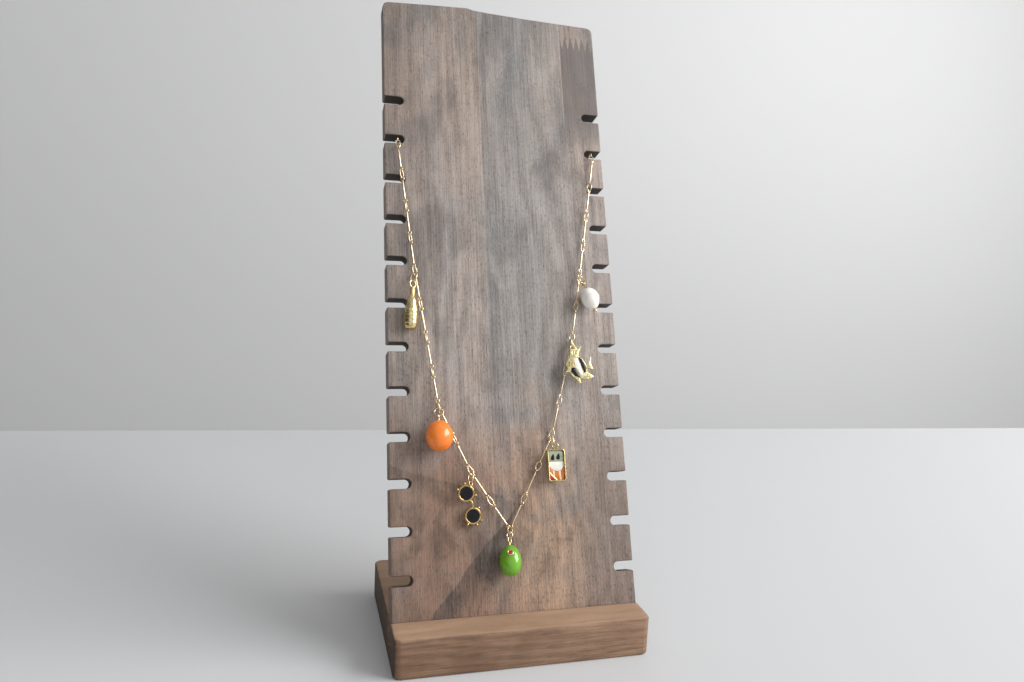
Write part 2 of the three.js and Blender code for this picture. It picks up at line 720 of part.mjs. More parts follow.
/** The pearl, on a pin that ends in a ball below it. */
function pearl(loop, pass) {
  const { width, height, drop, ball, ballSides, ballRows } = PEARL_DROP;
  const low = -drop - height / 2;
  const hole = rodBetween(low - OVERCUT, height / 2 - drop + OVERCUT, PIN.hole);
  const bead = cut(ellipsoid(width, height, drop, CHARM_SIDES, FRUIT_ROWS), hole);
  const stem = rodBetween(low - ball, BITE - loop, PIN.radius);
  const end = new THREE.SphereGeometry(ball, ballSides, ballRows).translate(0, low - ball, 0);
  return { pearl: [bead, PEARL], pearl_pin: [fused([ownLoop(loop, pass), stem, end]), GOLD] };
}

// The olive's stuffed hole: a pocket in its upper front, `up` and `side` from straight ahead.
const STUFFING = {
  up: 32 * DEG,
  side: -14 * DEG,
  pocket: 1.3,
  pocketSides: 10,
  deep: 0.9,
  rim: 1.0,
  wire: 0.2,
  fill: 0.7,
  fillSides: 8,
  proud: 0.05, // how far the stuffing stands out of the skin
};

function olive(loop, pass) {
  const { up, side, pocket, deep, rim, wire, fill, proud } = STUFFING;
  const { width, height, drop } = OLIVE_FRUIT;
  const { fruit, pin } = pinnedFruit(OLIVE_FRUIT, loop, pass);
  // Where the pocket's own axis leaves the skin, and the skin's normal there.
  const aim = vec(Math.sin(side), Math.tan(up), Math.cos(side));
  const radii = vec(width / 2, height / 2, width / 2);
  const face = aim.clone().divideScalar(aim.clone().divide(radii).length());
  const normal = face.clone().divide(radii).divide(radii).normalize();
  face.y -= drop;
  const turn = new THREE.Quaternion().setFromUnitVectors(TOP, normal);
  const disc = (radius, low, high, sides) => {
    return rodBetween(low, high, radius, sides).applyQuaternion(turn).translate(...face.toArray());
  };
  const seat = face.clone().addScaledVector(normal, -wire);
  const ring = wireRing(seat, across(TOP, normal), normal, rim, rim, wire);
  return {
    olive: [cut(fruit, disc(pocket, -deep, OVERCUT, STUFFING.pocketSides)), OLIVE],
    olive_pin: [pin, GOLD],
    olive_rim: [ring, GOLD],
    olive_stuffing: [disc(fill, -deep + INLAY_GAP, proud, STUFFING.fillSides), RED],
  };
}

// Sunglasses that hang by a rim: `drop` and `side` place the upper lens from the loop, and
// `apart` is from lens to lens. The balls stand round the rims by their angles from straight up.
const GLASSES = {
  side: -2.93, drop: 3.14, apart: 9.3, rim: 3.05, wire: 0.42, lens: 2.45, lensDepth: 0.6,
};
const GLASSES_BALL = {
  radius: 0.6, out: 3.85, sides: 6, rows: 5, upper: [-49, 6, 121], lower: [54, 137, 172, -129],
};

// The bridge bends to the right: `ends` and `middle` are how far it stands from the lenses' line.
const GLASSES_BRIDGE = { wire: 0.4, ends: 0.6, middle: 1.3 };

// The post from the loop to the upper rim: its start, as shares of the loop's radius left of and
// below its centre, and its end, right of and above the upper lens.
const GLASSES_POST = { left: 0.7, below: 0.75, right: 2.1, above: 2.2 };

function sunglasses(loop, pass) {
  const { side, drop, apart, rim, wire, lens, lensDepth } = GLASSES;
  const centres = [vec(side, -drop, 0), vec(side, -drop - apart, 0)];
  const rims = centres.map((centre) => wireRing(centre, TOP, FRONT, rim, rim, wire, CHARM_SIDES));
  const ball = (centre, angle) => {
    const x = GLASSES_BALL.out * Math.sin(angle * DEG);
    const y = GLASSES_BALL.out * Math.cos(angle * DEG);
    const sphere = new THREE.SphereGeometry(GLASSES_BALL.radius, GLASSES_BALL.sides, GLASSES_BALL.rows);
    return sphere.translate(centre.x + x, centre.y + y, 0);
  };
  const balls = [GLASSES_BALL.upper, GLASSES_BALL.lower].flatMap((angles, k) => {
    return angles.map((angle) => ball(centres[k], angle));
  });
  const { ends, middle } = GLASSES_BRIDGE;
  const bend = [
    vec(side + ends, -rim - drop, 0),
    vec(side + middle, -apart / 2 - drop, 0),
    vec(side + ends, rim - apart - drop, 0),
  ];
  const bridgeWire = bend.slice(1).map((end, k) => rodFromTo(bend[k], end, GLASSES_BRIDGE.wire));
  const { left, below, right, above } = GLASSES_POST;
  const postStart = vec(-loop * left, -loop * below, 0);
  const post = rodFromTo(postStart, vec(side + right, -drop + above, 0), GLASSES_BRIDGE.wire);
  const frame = fused([...rims, ...balls, ...bridgeWire, post, ownLoop(loop, pass)]);
  const disc = (centre) => {
    const flat = new THREE.CylinderGeometry(lens, lens, lensDepth, CHARM_SIDES).rotateX(Math.PI / 2);
    return flat.translate(...centre.toArray());
  };
  return {
    sunglasses_frame: [frame, GOLD],
    sunglasses_lens_upper: [disc(centres[0]), BLACK],
    sunglasses_lens_lower: [disc(centres[1]), BLACK],
  };
}

// The tin: a rounded tray with a picture of enamel fields in it. Heights are from its middle.
const TIN = { width: 7.6, height: 13.2, depth: 2.2, corner: 1.3, wall: 0.5, floor: 0.6, drop: 7.95 };
const TIN_FIELD = { bandTop: 1.4, redTop: -3.2, redRight: -0.4, thick: 0.75 };

// The band's lower edge, between the tray's walls.
const BAND_EDGE = [
  { x: -1.5, y: -2.0 },
  { x: 0.4, y: -2.4 },
  { x: 2.2, y: -1.8 },
];
const BAND_END = -0.4; // its height at the walls

// A gap across a slanted edge is wider than the edge's own gap by these shares.
const SLANT = { band: 1.4, red: 1.2 };

/** A rectangle with rounded corners, about the tin's middle. */
function roundedRectangle(halfWidth, halfHeight, corner) {
  const outline = new THREE.Shape();
  const w = halfWidth - corner;
  const h = halfHeight - corner;
  outline.absarc(w, -h, corner, -Math.PI / 2, 0);
  outline.absarc(w, h, corner, 0, Math.PI / 2);
  outline.absarc(-w, h, corner, Math.PI / 2, Math.PI);
  outline.absarc(-w, -h, corner, Math.PI, 1.5 * Math.PI);
  return outline;
}

function tin(loop, pass) {
  const { width, height, depth, corner, wall, floor, drop } = TIN;
  const half = { w: width / 2, h: height / 2 };
  const inner = { w: half.w - wall - INLAY_GAP, h: half.h - wall - INLAY_GAP };
  const back = -depth / 2;
  const seat = back + floor + INLAY_GAP;
  const cornerCut = corner - wall;
  const outside = roundedRectangle(half.w, half.h, corner);
  const inside = roundedRectangle(half.w - wall, half.h - wall, cornerCut);
  const tray = plate(outside, back, depth / 2, CORNER_STEPS);
  const hollow = plate(inside, back + floor, depth, CORNER_STEPS);
  const body = cut(tray, hollow).translate(0, -drop, 0);
  const field = (corners) => {
    return plate(polygon(corners), seat, seat + TIN_FIELD.thick).translate(0, -drop, 0);
  };
  const topField = field([
    { x: -inner.w, y: TIN_FIELD.bandTop + INLAY_GAP },
    { x: inner.w, y: TIN_FIELD.bandTop + INLAY_GAP },
    { x: inner.w, y: inner.h - cornerCut },
    { x: inner.w - cornerCut, y: inner.h },
    { x: -inner.w + cornerCut, y: inner.h },
    { x: -inner.w, y: inner.h - cornerCut },
  ]);
  const bandEdge = [{ x: -inner.w, y: BAND_END }, ...BAND_EDGE, { x: inner.w, y: BAND_END }];
  const band = field([
    ...bandEdge,
    { x: inner.w, y: TIN_FIELD.bandTop },
    { x: -inner.w, y: TIN_FIELD.bandTop },
  ]);
  const lowField = field([
    ...bandEdge.map(({ x, y }) => ({ x, y: y - SLANT.band * INLAY_GAP })).reverse(),
    { x: -inner.w, y: TIN_FIELD.redTop + SLANT.red * INLAY_GAP },
    { x: TIN_FIELD.redRight + SLANT.red * INLAY_GAP, y: -inner.h },
    { x: inner.w - cornerCut, y: -inner.h },
    { x: inner.w, y: -inner.h + cornerCut },
  ]);
  const redCorner = field([
    { x: -inner.w, y: TIN_FIELD.redTop },
    { x: -inner.w, y: -inner.h + cornerCut },
    { x: -inner.w + cornerCut, y: -inner.h },
    { x: TIN_FIELD.redRight, y: -inner.h },
  ]);
  return {
    tin: [fused([body, ownLoop(loop, pass)]), GOLD],
    tin_top_field: [topField, SILVER],
    tin_band: [band, WHITE],
    tin_low_field: [lowField, AMBER],
    tin_red_corner: [redCorner, RED],
  };
}

// The fish: a thin plate that hangs by a hole in its back fin. Outlines are from its body's
// middle, which is `side` and `drop` from the hole. A corner with a bend is reached by a curve.
const FISH = { side: 1.9, drop: 8.7, thick: 0.8, pocket: 0.4, proud: 0.05 };
const FISH_OUTLINE = [
  { x: -2.6, y: 11.2 },
  { x: -3.6, y: 4.6, bend: [-3.4, 7.5] },
  { x: -5.9, y: 0.6, bend: [-5.2, 2.6] },
  { x: -5.2, y: -1.0 },
  { x: -6.2, y: -2.6 },
  { x: -4.4, y: -2.5 },
  { x: -2.0, y: -5.3, bend: [-3.9, -4.2] },
  { x: 0.2, y: -7.7, bend: [-1.2, -7.2] },
  { x: -0.2, y: -5.3, bend: [-0.1, -6.6] },
  { x: 6.1, y: -4.3, bend: [4.4, -6.6] },
  { x: 3.4, y: -2.4, bend: [5.0, -3.0] },
  { x: 3.6, y: -1.0 },
  { x: 6.5, y: -1.5, bend: [4.9, -0.6] },
  { x: 6.3, y: 5.0, bend: [4.9, 1.4] },
  { x: 3.4, y: 0.4, bend: [3.9, 2.2] },
  { x: 0.2, y: 4.7, bend: [2.6, 3.2] },
  { x: 2.3, y: 9.2, bend: [0.5, 7.0] },
  { x: 0.3, y: 7.9, bend: [1.0, 8.9] },
  { x: -1.7, y: 11.0, bend: [-0.6, 9.0] },
];
const FISH_FIELDS = {
  fish_black_chin: [
    { x: -3.4, y: -0.7 },
    { x: -3.7, y: -2.4 },
    { x: -2.0, y: -4.2 },
    { x: 0.0, y: -4.7 },
    { x: -1.9, y: -0.7 },
  ],
  fish_white_band: [
    { x: -1.3, y: 3.4 },
    { x: -1.1, y: -0.4 },
    { x: 0.6, y: -4.0 },
    { x: 1.9, y: -3.2 },
    { x: 1.2, y: -0.9 },
    { x: 0.6, y: 1.7 },
    { x: -0.3, y: 3.9 },
  ],
  fish_black_back: [
    { x: 0.3, y: 4.0 },
    { x: 1.3, y: 1.7 },
    { x: 1.8, y: -0.8 },
    { x: 2.4, y: -2.5 },
    { x: 3.0, y: -2.0 },
    { x: 3.0, y: -0.8 },
    { x: 2.4, y: 1.2 },
    { x: 1.4, y: 3.2 },
  ],
};
const FISH_SPOT = { x: -2.8, y: 0.8, radius: 0.75, steps: 10 };
const FISH_COLOURS = {
  fish_black_chin: BLACK,
  fish_white_band: WHITE,
  fish_black_back: BLACK,
  fish_spot: YELLOW,
};
const FISH_CURVE_STEPS = 4;
const MITRE_LIMIT = 0.4; // the least share that a grown corner's mitre is divided by

/** An outline grown by `gap` on every side. The corners turn left. */
function grown(corners, gap) {
  return corners.map(({ x, y }, i) => {
    const before = corners.at(i - 1);
    const after = corners[(i + 1) % corners.length];
    const incoming = new THREE.Vector2(x - before.x, y - before.y).normalize();
    const outgoing = new THREE.Vector2(after.x - x, after.y - y).normalize();
    const mitre = incoming.clone().add(outgoing).normalize();
    const reach = gap / Math.max(MITRE_LIMIT, mitre.dot(incoming));
    return { x: x + mitre.y * reach, y: y - mitre.x * reach };
  });
}

function fish(loop) {
  const { side, drop, thick, pocket, proud } = FISH;
  const shape = new THREE.Shape();
  FISH_OUTLINE.forEach(({ x, y, bend }, i) => {
    if (i === 0) shape.moveTo(x, y);
    else if (bend) shape.quadraticCurveTo(...bend, x, y);
    else shape.lineTo(x, y);
  });
  const hole = new THREE.Path();
  hole.absarc(-side, drop, loop - LOOP_WIRE, 0, 2 * Math.PI, true);
  shape.holes.push(hole);
  const front = thick / 2;
  const circle = Array.from({ length: FISH_SPOT.steps }, (_, k) => ({
    x: FISH_SPOT.x + FISH_SPOT.radius * Math.cos((2 / FISH_SPOT.steps) * k * Math.PI),
    y: FISH_SPOT.y + FISH_SPOT.radius * Math.sin((2 / FISH_SPOT.steps) * k * Math.PI),
  }));
  const fields = { ...FISH_FIELDS, fish_spot: circle };
  const pockets = Object.values(fields).map((corners) => {
    return plate(polygon(grown(corners, INLAY_GAP)), front - pocket, front + OVERCUT);
  });
  const body = cut(plate(shape, -front, front, FISH_CURVE_STEPS), fused(pockets));
  const pieces = { fish: [body, GOLD] };
  for (const [name, corners] of Object.entries(fields)) {
    const inlay = plate(polygon(corners), front - pocket + INLAY_GAP, front + proud);
    pieces[name] = [inlay, FISH_COLOURS[name]];
  }
  for (const [geometry] of Object.values(pieces)) geometry.translate(side, -drop, 0);
  return pieces;
}

// ---------------------------------------------------------------- assembly

const MAKERS = { bottle, orange, sunglasses, olive, tin, fish, pearl };

function named(name, geometry, material) {
  const mesh = new THREE.Mesh(welded(geometry), material);
  mesh.geometry.computeVertexNormals();
  mesh.name = name;
  return mesh;
}

const necklaceOnStand = new THREE.Group();
necklaceOnStand.name = 'charm_necklace_on_stand';
necklaceOnStand.add(named('display_base', displayBase(), BASE_WOOD));
leaning.add(named('display_board', displayBoard(), WOOD));
leaning.add(named('chain_left', chainHalf(-1), GOLD));
leaning.add(named('chain_right', chainHalf(1), GOLD));
leaning.add(named('clasp', clasp(), GOLD));
for (const [name, charm] of Object.entries(CHARMS)) {
  const { jumpRing, frame, pass } = hanging(charm);
  leaning.add(named(`${name}_jump_ring`, jumpRing, GOLD));
  for (const [piece, [geometry, material]] of Object.entries(MAKERS[name](charm.loop, pass))) {
    leaning.add(named(piece, geometry.applyMatrix4(frame), material));
  }
}
necklaceOnStand.add(leaning);

export default necklaceOnStand;
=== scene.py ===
"""A charm necklace on its notched wooden display stand, with the finish of every surface.

The scene is in metres, +Z up. Most shapes are worked out in millimetres in the board's own
leaning frame: X right, Z up the board's face, and -Y off the face.
"""
from collections import namedtuple
from math import asin, cos, exp, hypot, pi, radians, sin, sqrt, tan
from types import SimpleNamespace as Values

import bpy
import bmesh
from mathutils import Matrix, Vector, noise


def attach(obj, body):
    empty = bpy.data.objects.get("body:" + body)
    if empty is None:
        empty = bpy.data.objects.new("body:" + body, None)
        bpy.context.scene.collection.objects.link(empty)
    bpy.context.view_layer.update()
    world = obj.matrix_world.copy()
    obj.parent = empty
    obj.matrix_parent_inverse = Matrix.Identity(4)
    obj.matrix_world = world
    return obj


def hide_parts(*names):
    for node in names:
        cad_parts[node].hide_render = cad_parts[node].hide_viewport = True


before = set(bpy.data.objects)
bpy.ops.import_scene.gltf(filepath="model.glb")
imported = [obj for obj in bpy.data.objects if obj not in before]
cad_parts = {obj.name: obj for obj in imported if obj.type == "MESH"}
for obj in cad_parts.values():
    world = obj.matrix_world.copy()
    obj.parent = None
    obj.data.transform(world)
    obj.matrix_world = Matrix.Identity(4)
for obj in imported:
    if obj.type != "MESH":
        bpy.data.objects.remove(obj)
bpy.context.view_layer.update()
MM = 0.001
scene = bpy.context.scene

# ---- sizes (mm and degrees)

BASE = Values(width=101.0, depth=72.0, height=15.5, corner=3.1, edge=0.9)
BOARD = Values(width=100.0, thickness=7.3, lean=radians(20.4), ledge=13.4, foot=8.0, gap=0.3,
    corner=2.4, edge=0.55)
STRIP_SEAMS = (-42.0, -7.0, 33.0)
TONGUE = Values(x=2.0, z=40.0, upper=0.38, lower=1.1)  # the tip and slopes of its grain
NOTCH = Values(count=12, pitch=18.33, height=3.8, depth=8.5, highest=218.2, used=1)
LINK = Values(bar=9.97, rod=0.36, eye=0.7, eye_wire=0.25, ring_width=1.05, ring_wire=0.225,
    reach=2.2, solder=0.05, lift=1.55, roll=-25.0, sway=8.0, sway_step=2.4, past_eye=1.02,
    grams=0.02)
BAR_SHAPE = [(0, 0.2), (0.02, 0.29), (0.06, LINK.rod), (0.5, LINK.rod), (0.94, LINK.rod),
             (0.98, 0.29), (1, 0.2)]
FLAT = cos(pi / 10)  # a ten-sided ring reaches this share of its radius
WIRE_FLAT = cos(pi / 5)  # and a five-sided wire this share
SHY = 0.02  # round rings stay this much smaller than faceted ones
FRONT_BARS = 24
BACK_BARS = 3
LOWEST = Values(radius=1.45, spread=radians(37), reach_right=1.52)
PASS = Values(x=44.4, y=-0.35, above=1.4, back_x=42.9)
CLASP = Values(radius=3.0, wire=0.5, eye=1.0, eye_wire=0.35, bite=0.1, round=0.985, grams=0.1)
JUMP_WIRE = 0.26
LOOP_WIRE = 0.28
LOOP_BITE = 0.12  # how far a loop's wire sinks into what carries it
JUMP_ROUND = 0.97  # a round jump ring's share of the faceted one's width
LOOP_ROUND = 0.98  # and a round loop's share
HANG_GAP = 0.1
INLAY_GAP = 0.1
SLIDE = 0.6
SET_ROLLS = {1: -65, 12: -60, 13: 60, 14: -75, 24: -65}
BACK_ROLL = Values(first=70, step=35)

# Where and how each charm hangs: the chain's joint, the charm's weight, how its chain ring turns, its jump
# ring's half length and half width, the ring's swing to the side and off the face, its own loop's radius,
# its lean and tip, and the space that its loop leaves in the ring.
Hung = namedtuple("Hung", "joint grams turn ring width side out loop lean tip slack", defaults=[HANG_GAP])
CHARMS = {
    "bottle": Hung(4, 2.3, 30, 2.8, 2.1, -11, 17, 1.5, -4, -1),
    "orange": Hung(8, 4.0, 75, 2.05, 1.9, -9, 22, 0.8, -3, 18),
    "sunglasses": Hung(10, 0.5, 28, 2.5, 1.7, -8, 26, 0.95, 17, -8),
    "olive": Hung(12, 3.0, 35, 1.75, 1.4, -12, 22, 1.05, -3, 11),
    "tin": Hung(15, 1.45, 28, 2.1, 1.6, 7, 20, 1.25, 0, 1),
    "fish": Hung(18, 1.5, 26, 2.25, 2.05, -10, 20, 1.25, 0, 8, slack=0.45),
    "pearl": Hung(20, 0.1, 75, 2.15, 1.8, 12, 24, 0.8, 17, 8),
}

# ---- frames and meshes

OUT = Vector((0, -1, 0))
UP = Vector((0, 0, 1))
FRONT = Vector((0, 0, 1))
TOP = Vector((0, 1, 0))
BOARD_ORIGIN = Vector((0, -BASE.depth / 2 + BOARD.ledge, BASE.height))
LEAN = Matrix.Translation(BOARD_ORIGIN) @ Matrix.Rotation(-BOARD.lean, 4, "X")
UNLEAN = LEAN.inverted()
UPRIGHT = Matrix.Scale(MM, 4)
TO_WORLD = UPRIGHT @ LEAN
TO_FRONT = Matrix.Rotation(pi / 2, 4, "X")


def turns(count):
    """The angles of even steps round a circle."""
    return [2 * pi * k / count for k in range(count)]


def raised(outline, z, shift=(0, 0)):
    """An outline's points at one height."""
    return [Vector((x + shift[0], y + shift[1], z)) for x, y in outline]


def along(a, b):
    return (b - a).normalized()


def across(direction, axis):
    """The part of a direction that lies across an axis."""
    return (direction - axis * direction.dot(axis) / axis.length_squared).normalized()


def rolled(axis, degrees, up):
    """A direction across an axis, turned about it from `up`."""
    side = up.cross(axis).normalized()
    normal = axis.cross(side).normalized()
    angle = radians(degrees)
    return normal * cos(angle) + side * sin(angle)


def frame_at(origin, axis, normal):
    x = axis.normalized()
    y = normal.cross(x).normalized()
    placed = Matrix((x, y, x.cross(y))).transposed().to_4x4()
    placed.translation = origin
    return placed


class Shell:
    """Vertices and faces of one mesh, in millimetres."""

    def __init__(self):
        self.verts = []
        self.faces = []

    def grid(self, rows, closed=False):
        """Adds closed rows of points, skinned one to the next, with end caps unless the rows close."""
        base = len(self.verts)
        n = len(rows[0])
        for row in rows:
            self.verts.extend(row)
        for i in range(len(rows) if closed else len(rows) - 1):
            here = base + i * n
            following = base + (i + 1) % len(rows) * n
            for j in range(n):
                k = (j + 1) % n
                self.faces.append((here + j, here + k, following + k, following + j))
        if not closed:
            last = base + (len(rows) - 1) * n
            self.faces.append(tuple(base + j for j in reversed(range(n))))
            self.faces.append(tuple(last + j for j in range(n)))
        return self

    def ring(self, place, half_length, half_width, wire, steps=28, sides=10):
        """A wire ring in the frame's XY plane."""
        rows = []
        for t in turns(steps):
            out = Vector((half_width * cos(t), half_length * sin(t), 0)).normalized()
            rows.append([place @ Vector((half_length * cos(t) + wire * cos(s) * out.x,
                                         half_width * sin(t) + wire * cos(s) * out.y,
                                         wire * sin(s))) for s in turns(sides)])
        return self.grid(rows, closed=True)

    def rod(self, start, end, radii, sides=12):
        """A rod between two points; `radii` are (share along, radius)."""
        axis = along(start, end)
        side = axis.orthogonal().normalized()
        other = axis.cross(side)
        rows = []
        for share, radius in radii:
            centre = start.lerp(end, share)
            rows.append([centre + side * radius * cos(t) + other * radius * sin(t) for t in turns(sides)])
        return self.grid(rows)

    def lathe(self, profile, sides=48, place=Matrix.Identity(4), shape=None, closed=False):
        """A body of revolution about Y, from (y, r) pairs that run downward."""
        rows = []
        for y, r in profile:
            row = []
            for turn in turns(sides):
                reached = shape(y, r, -turn) if shape else r
                row.append(place @ Vector((reached * sin(-turn), y, reached * cos(turn))))
            rows.append(row)
        return self.grid(rows, closed)


def cut_into_triangles(bm):
    """Faces of many corners become triangles."""
    bmesh.ops.triangulate(bm, faces=[face for face in bm.faces if len(face.verts) > 4])


def modified(piece):
    """Applies a piece's modifiers, and cuts its large faces into triangles at a safe scale."""
    bpy.context.view_layer.update()
    depsgraph = bpy.context.evaluated_depsgraph_get()
    mesh = bpy.data.meshes.new_from_object(piece.evaluated_get(depsgraph))
    piece.modifiers.clear()
    piece.data = mesh
    bm = bmesh.new()
    bm.from_mesh(mesh)
    scale = 1 / MM if max(piece.dimensions) < 1 else 1
    bm.transform(Matrix.Scale(scale, 4))
    cut_into_triangles(bm)
    bm.transform(Matrix.Scale(1 / scale, 4))
    bm.to_mesh(mesh)
    bm.free()
    return piece


def mesh_object(name, shell, place=TO_WORLD, ease=0.0):
    """An object from a shell in millimetres, with its sharp edges eased by `ease`."""
    mesh = bpy.data.meshes.new(name)
    mesh.from_pydata([tuple(v) for v in shell.verts], [], shell.faces)
    bm = bmesh.new()
    bm.from_mesh(mesh)
    bmesh.ops.remove_doubles(bm, verts=bm.verts, dist=1e-4)
    bmesh.ops.recalc_face_normals(bm, faces=bm.faces)
    if not ease:
        cut_into_triangles(bm)
    bm.to_mesh(mesh)
    bm.free()
    made = bpy.data.objects.new(name, mesh)
    scene.collection.objects.link(made)
    if ease:
        soft = made.modifiers.new("soft", "BEVEL")
        soft.width = ease
        soft.segments = 3
        soft.limit_method = "ANGLE"
        soft.angle_limit = radians(50)
        modified(made)
    made.data.transform(place)
    made.data.shade_smooth()
    return made


def combined(target, other, operation="UNION"):
    """Joins or cuts two closed meshes; the second goes away."""
    step = target.modifiers.new("join", "BOOLEAN")
    step.operation = operation
    step.solver = "MANIFOLD"
    step.object = other
    modified(target)
    bpy.data.objects.remove(other)
    return target


def finish_piece(piece, material, angle, *nodes):
    """Gives a piece its material, and edges that stay crisp above an angle."""
    piece.data.shade_smooth()
    piece.data.set_sharp_from_angle(angle=radians(angle))
    piece.data.materials.clear()
    piece.data.materials.append(material)
    slot = "gold" if material in METALS else material.name.split(".")[0]
    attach(piece, "root")
    if nodes:
        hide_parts(*nodes)


# ---- camera

CAMERA = Values(place=(-0.0867, -0.2973, 0.1599), right=15.92, down=7.37, roll=2.82, lens=27.2215)

camera_data = bpy.data.cameras.new("camera")
camera_data.sensor_width = 36
camera_data.sensor_fit = "HORIZONTAL"
camera_data.lens = CAMERA.lens
camera_data.clip_start = 0.01
camera = bpy.data.objects.new("camera", camera_data)
camera.matrix_world = (Matrix.Translation(CAMERA.place)
                       @ Matrix.Rotation(radians(-CAMERA.right), 4, "Z")
                       @ Matrix.Rotation(radians(90 - CAMERA.down), 4, "X")
                       @ Matrix.Rotation(radians(CAMERA.roll), 4, "Z"))
scene.collection.objects.link(camera)
scene.camera = camera

# ---- the chain's path

SOLVER = Values(tries=60, close=1e-9, probe=1e-5, pull=0.15, lift=0.5, boldest=0.3)


def hang(start, end, lengths, loads):
    """Joints of a hanging line between two fixed ends, each inner joint with its load."""
    def trace(pull, lift):
        x, z, down = start.x, start.z, lift
        joints = [(x, z)]
        for length, load in zip(lengths, [*loads, 0]):
            force = hypot(pull, down)
            x += length * pull / force
            z -= length * down / force
            joints.append((x, z))
            down -= load
        return joints

    def miss(pull, lift):
        x, z = trace(pull, lift)[-1]
        return x - end.x, z - end.z

    total = sum(loads)
    step = total * SOLVER.probe
    pull, lift = total * SOLVER.pull, total * SOLVER.lift
    for _ in range(SOLVER.tries):
        here = miss(pull, lift)
        by_pull = [(b - a) / step for a, b in zip(here, miss(pull + step, lift))]
        by_lift = [(b - a) / step for a, b in zip(here, miss(pull, lift + step))]
        det = by_pull[0] * by_lift[1] - by_pull[1] * by_lift[0]
        d_pull = (here[0] * by_lift[1] - here[1] * by_lift[0]) / det
        d_lift = (by_pull[0] * here[1] - by_pull[1] * here[0]) / det
        if hypot(*here) < SOLVER.close:
            break
        share = min(1, SOLVER.boldest * pull / abs(d_pull))
        pull -= share * d_pull
        lift -= share * d_lift
    return [Vector((x, start.y, z)) for x, z in trace(pull, lift)]


def charm_at(joint):
    return next((charm for charm in CHARMS.values() if charm.joint == joint), None)


def front_roll(i):
    if i in SET_ROLLS:
        return SET_ROLLS[i]
    charm = charm_at(i - 1) or charm_at(i)
    if charm:
        return charm.turn - 90
    return LINK.roll + LINK.sway * sin(LINK.sway_step * i)


BOTTOM = CHARMS["olive"].joint
NOTCH_TOP = NOTCH.highest - NOTCH.pitch * NOTCH.used
PASS_Z = NOTCH_TOP - NOTCH.height + PASS.above
PASS_DROP = sqrt((2 * LINK.reach) ** 2 - (LINK.lift + PASS.y) ** 2)
SOLDER_SPAN = (LINK.eye_wire + LINK.ring_wire) * WIRE_FLAT + LINK.solder
RING_LENGTH = (LINK.reach - LINK.eye * FLAT + SOLDER_SPAN) / FLAT
LOWEST_REACH_LEFT = LOWEST.radius * FLAT - SOLDER_SPAN + LINK.eye * FLAT


def face_eye(side):
    return Vector((side * PASS.x, PASS.y, PASS_Z))


def first_eye(side):
    return Vector((side * PASS.x, -LINK.lift, PASS_Z - PASS_DROP))


def behind_eye(side):
    inward = PASS.x - PASS.back_x
    return face_eye(side) + Vector((-side * inward, sqrt(LINK.bar ** 2 - inward ** 2), 0))


def reach(joint, lowest):
    if joint in (0, FRONT_BARS):
        return 0
    return lowest if joint == BOTTOM else LINK.reach


front_lengths = [reach(i - 1, LOWEST.reach_right) + LINK.bar + reach(i, LOWEST_REACH_LEFT)
                 for i in range(1, FRONT_BARS + 1)]
front_loads = [LINK.grams + (charm_at(i).grams if charm_at(i) else 0) for i in range(1, FRONT_BARS)]
front_joints = hang(first_eye(-1), first_eye(1), front_lengths, front_loads)


def bar_axis(i):
    return along(front_joints[i - 1], front_joints[i])


lowest_normal = rolled(-UP, CHARMS["olive"].turn, OUT)
lowest_right = UP.cross(lowest_normal)


def lowest_to_eye(side):
    return lowest_right * side * sin(LOWEST.spread) + UP * cos(LOWEST.spread)


def front_eye(i, at_start):
    """The centre of a front bar's eye, at the bar's start or at its finish."""
    joint = i - 1 if at_start else i
    centre = front_joints[joint].copy()
    if joint in (0, FRONT_BARS):
        return centre
    if joint == BOTTOM:
        away = LOWEST.reach_right if at_start else LOWEST_REACH_LEFT
        return centre + lowest_to_eye(1 if at_start else -1) * away
    return centre + bar_axis(i) * (LINK.reach if at_start else -LINK.reach)


def joint_roll(i):
    """How a ring of the front chain is rolled: as its charm needs, or halfway between its bars."""
    if charm_at(i):
        return charm_at(i).turn
    before = front_roll(i)
    apart = front_roll(i + 1) - before
    return before + ((apart + 90) % 180 - 90) / 2 + 90


RING_GRIP = RING_LENGTH * FLAT - LINK.ring_wire
CLASP_REACH = CLASP.radius * cos(pi / 12)
TO_CLASP = RING_GRIP - CLASP.wire - 2 * HANG_GAP
CLASP_EYE = CLASP_REACH + CLASP.wire + CLASP.eye - CLASP.bite
CLASP_HOOK = CLASP.eye * FLAT + RING_GRIP - CLASP.eye_wire - HANG_GAP
back_side = [2 * LINK.reach, LINK.bar] * BACK_BARS
back_middle = [LINK.reach + TO_CLASP, CLASP_REACH + CLASP_EYE, CLASP_HOOK + LINK.reach]
back_lengths = back_side + back_middle + back_side[::-1]
clasp_joints = (len(back_side), len(back_side) + 1)
back_loads = [(CLASP.grams if i in clasp_joints else LINK.grams) / 2 for i in range(len(back_lengths) - 1)]
back_eyes = hang(LEAN @ behind_eye(-1), LEAN @ behind_eye(1), back_lengths, back_loads)
BACK_OUT = UNLEAN.to_3x3() @ OUT

# ---- words for materials


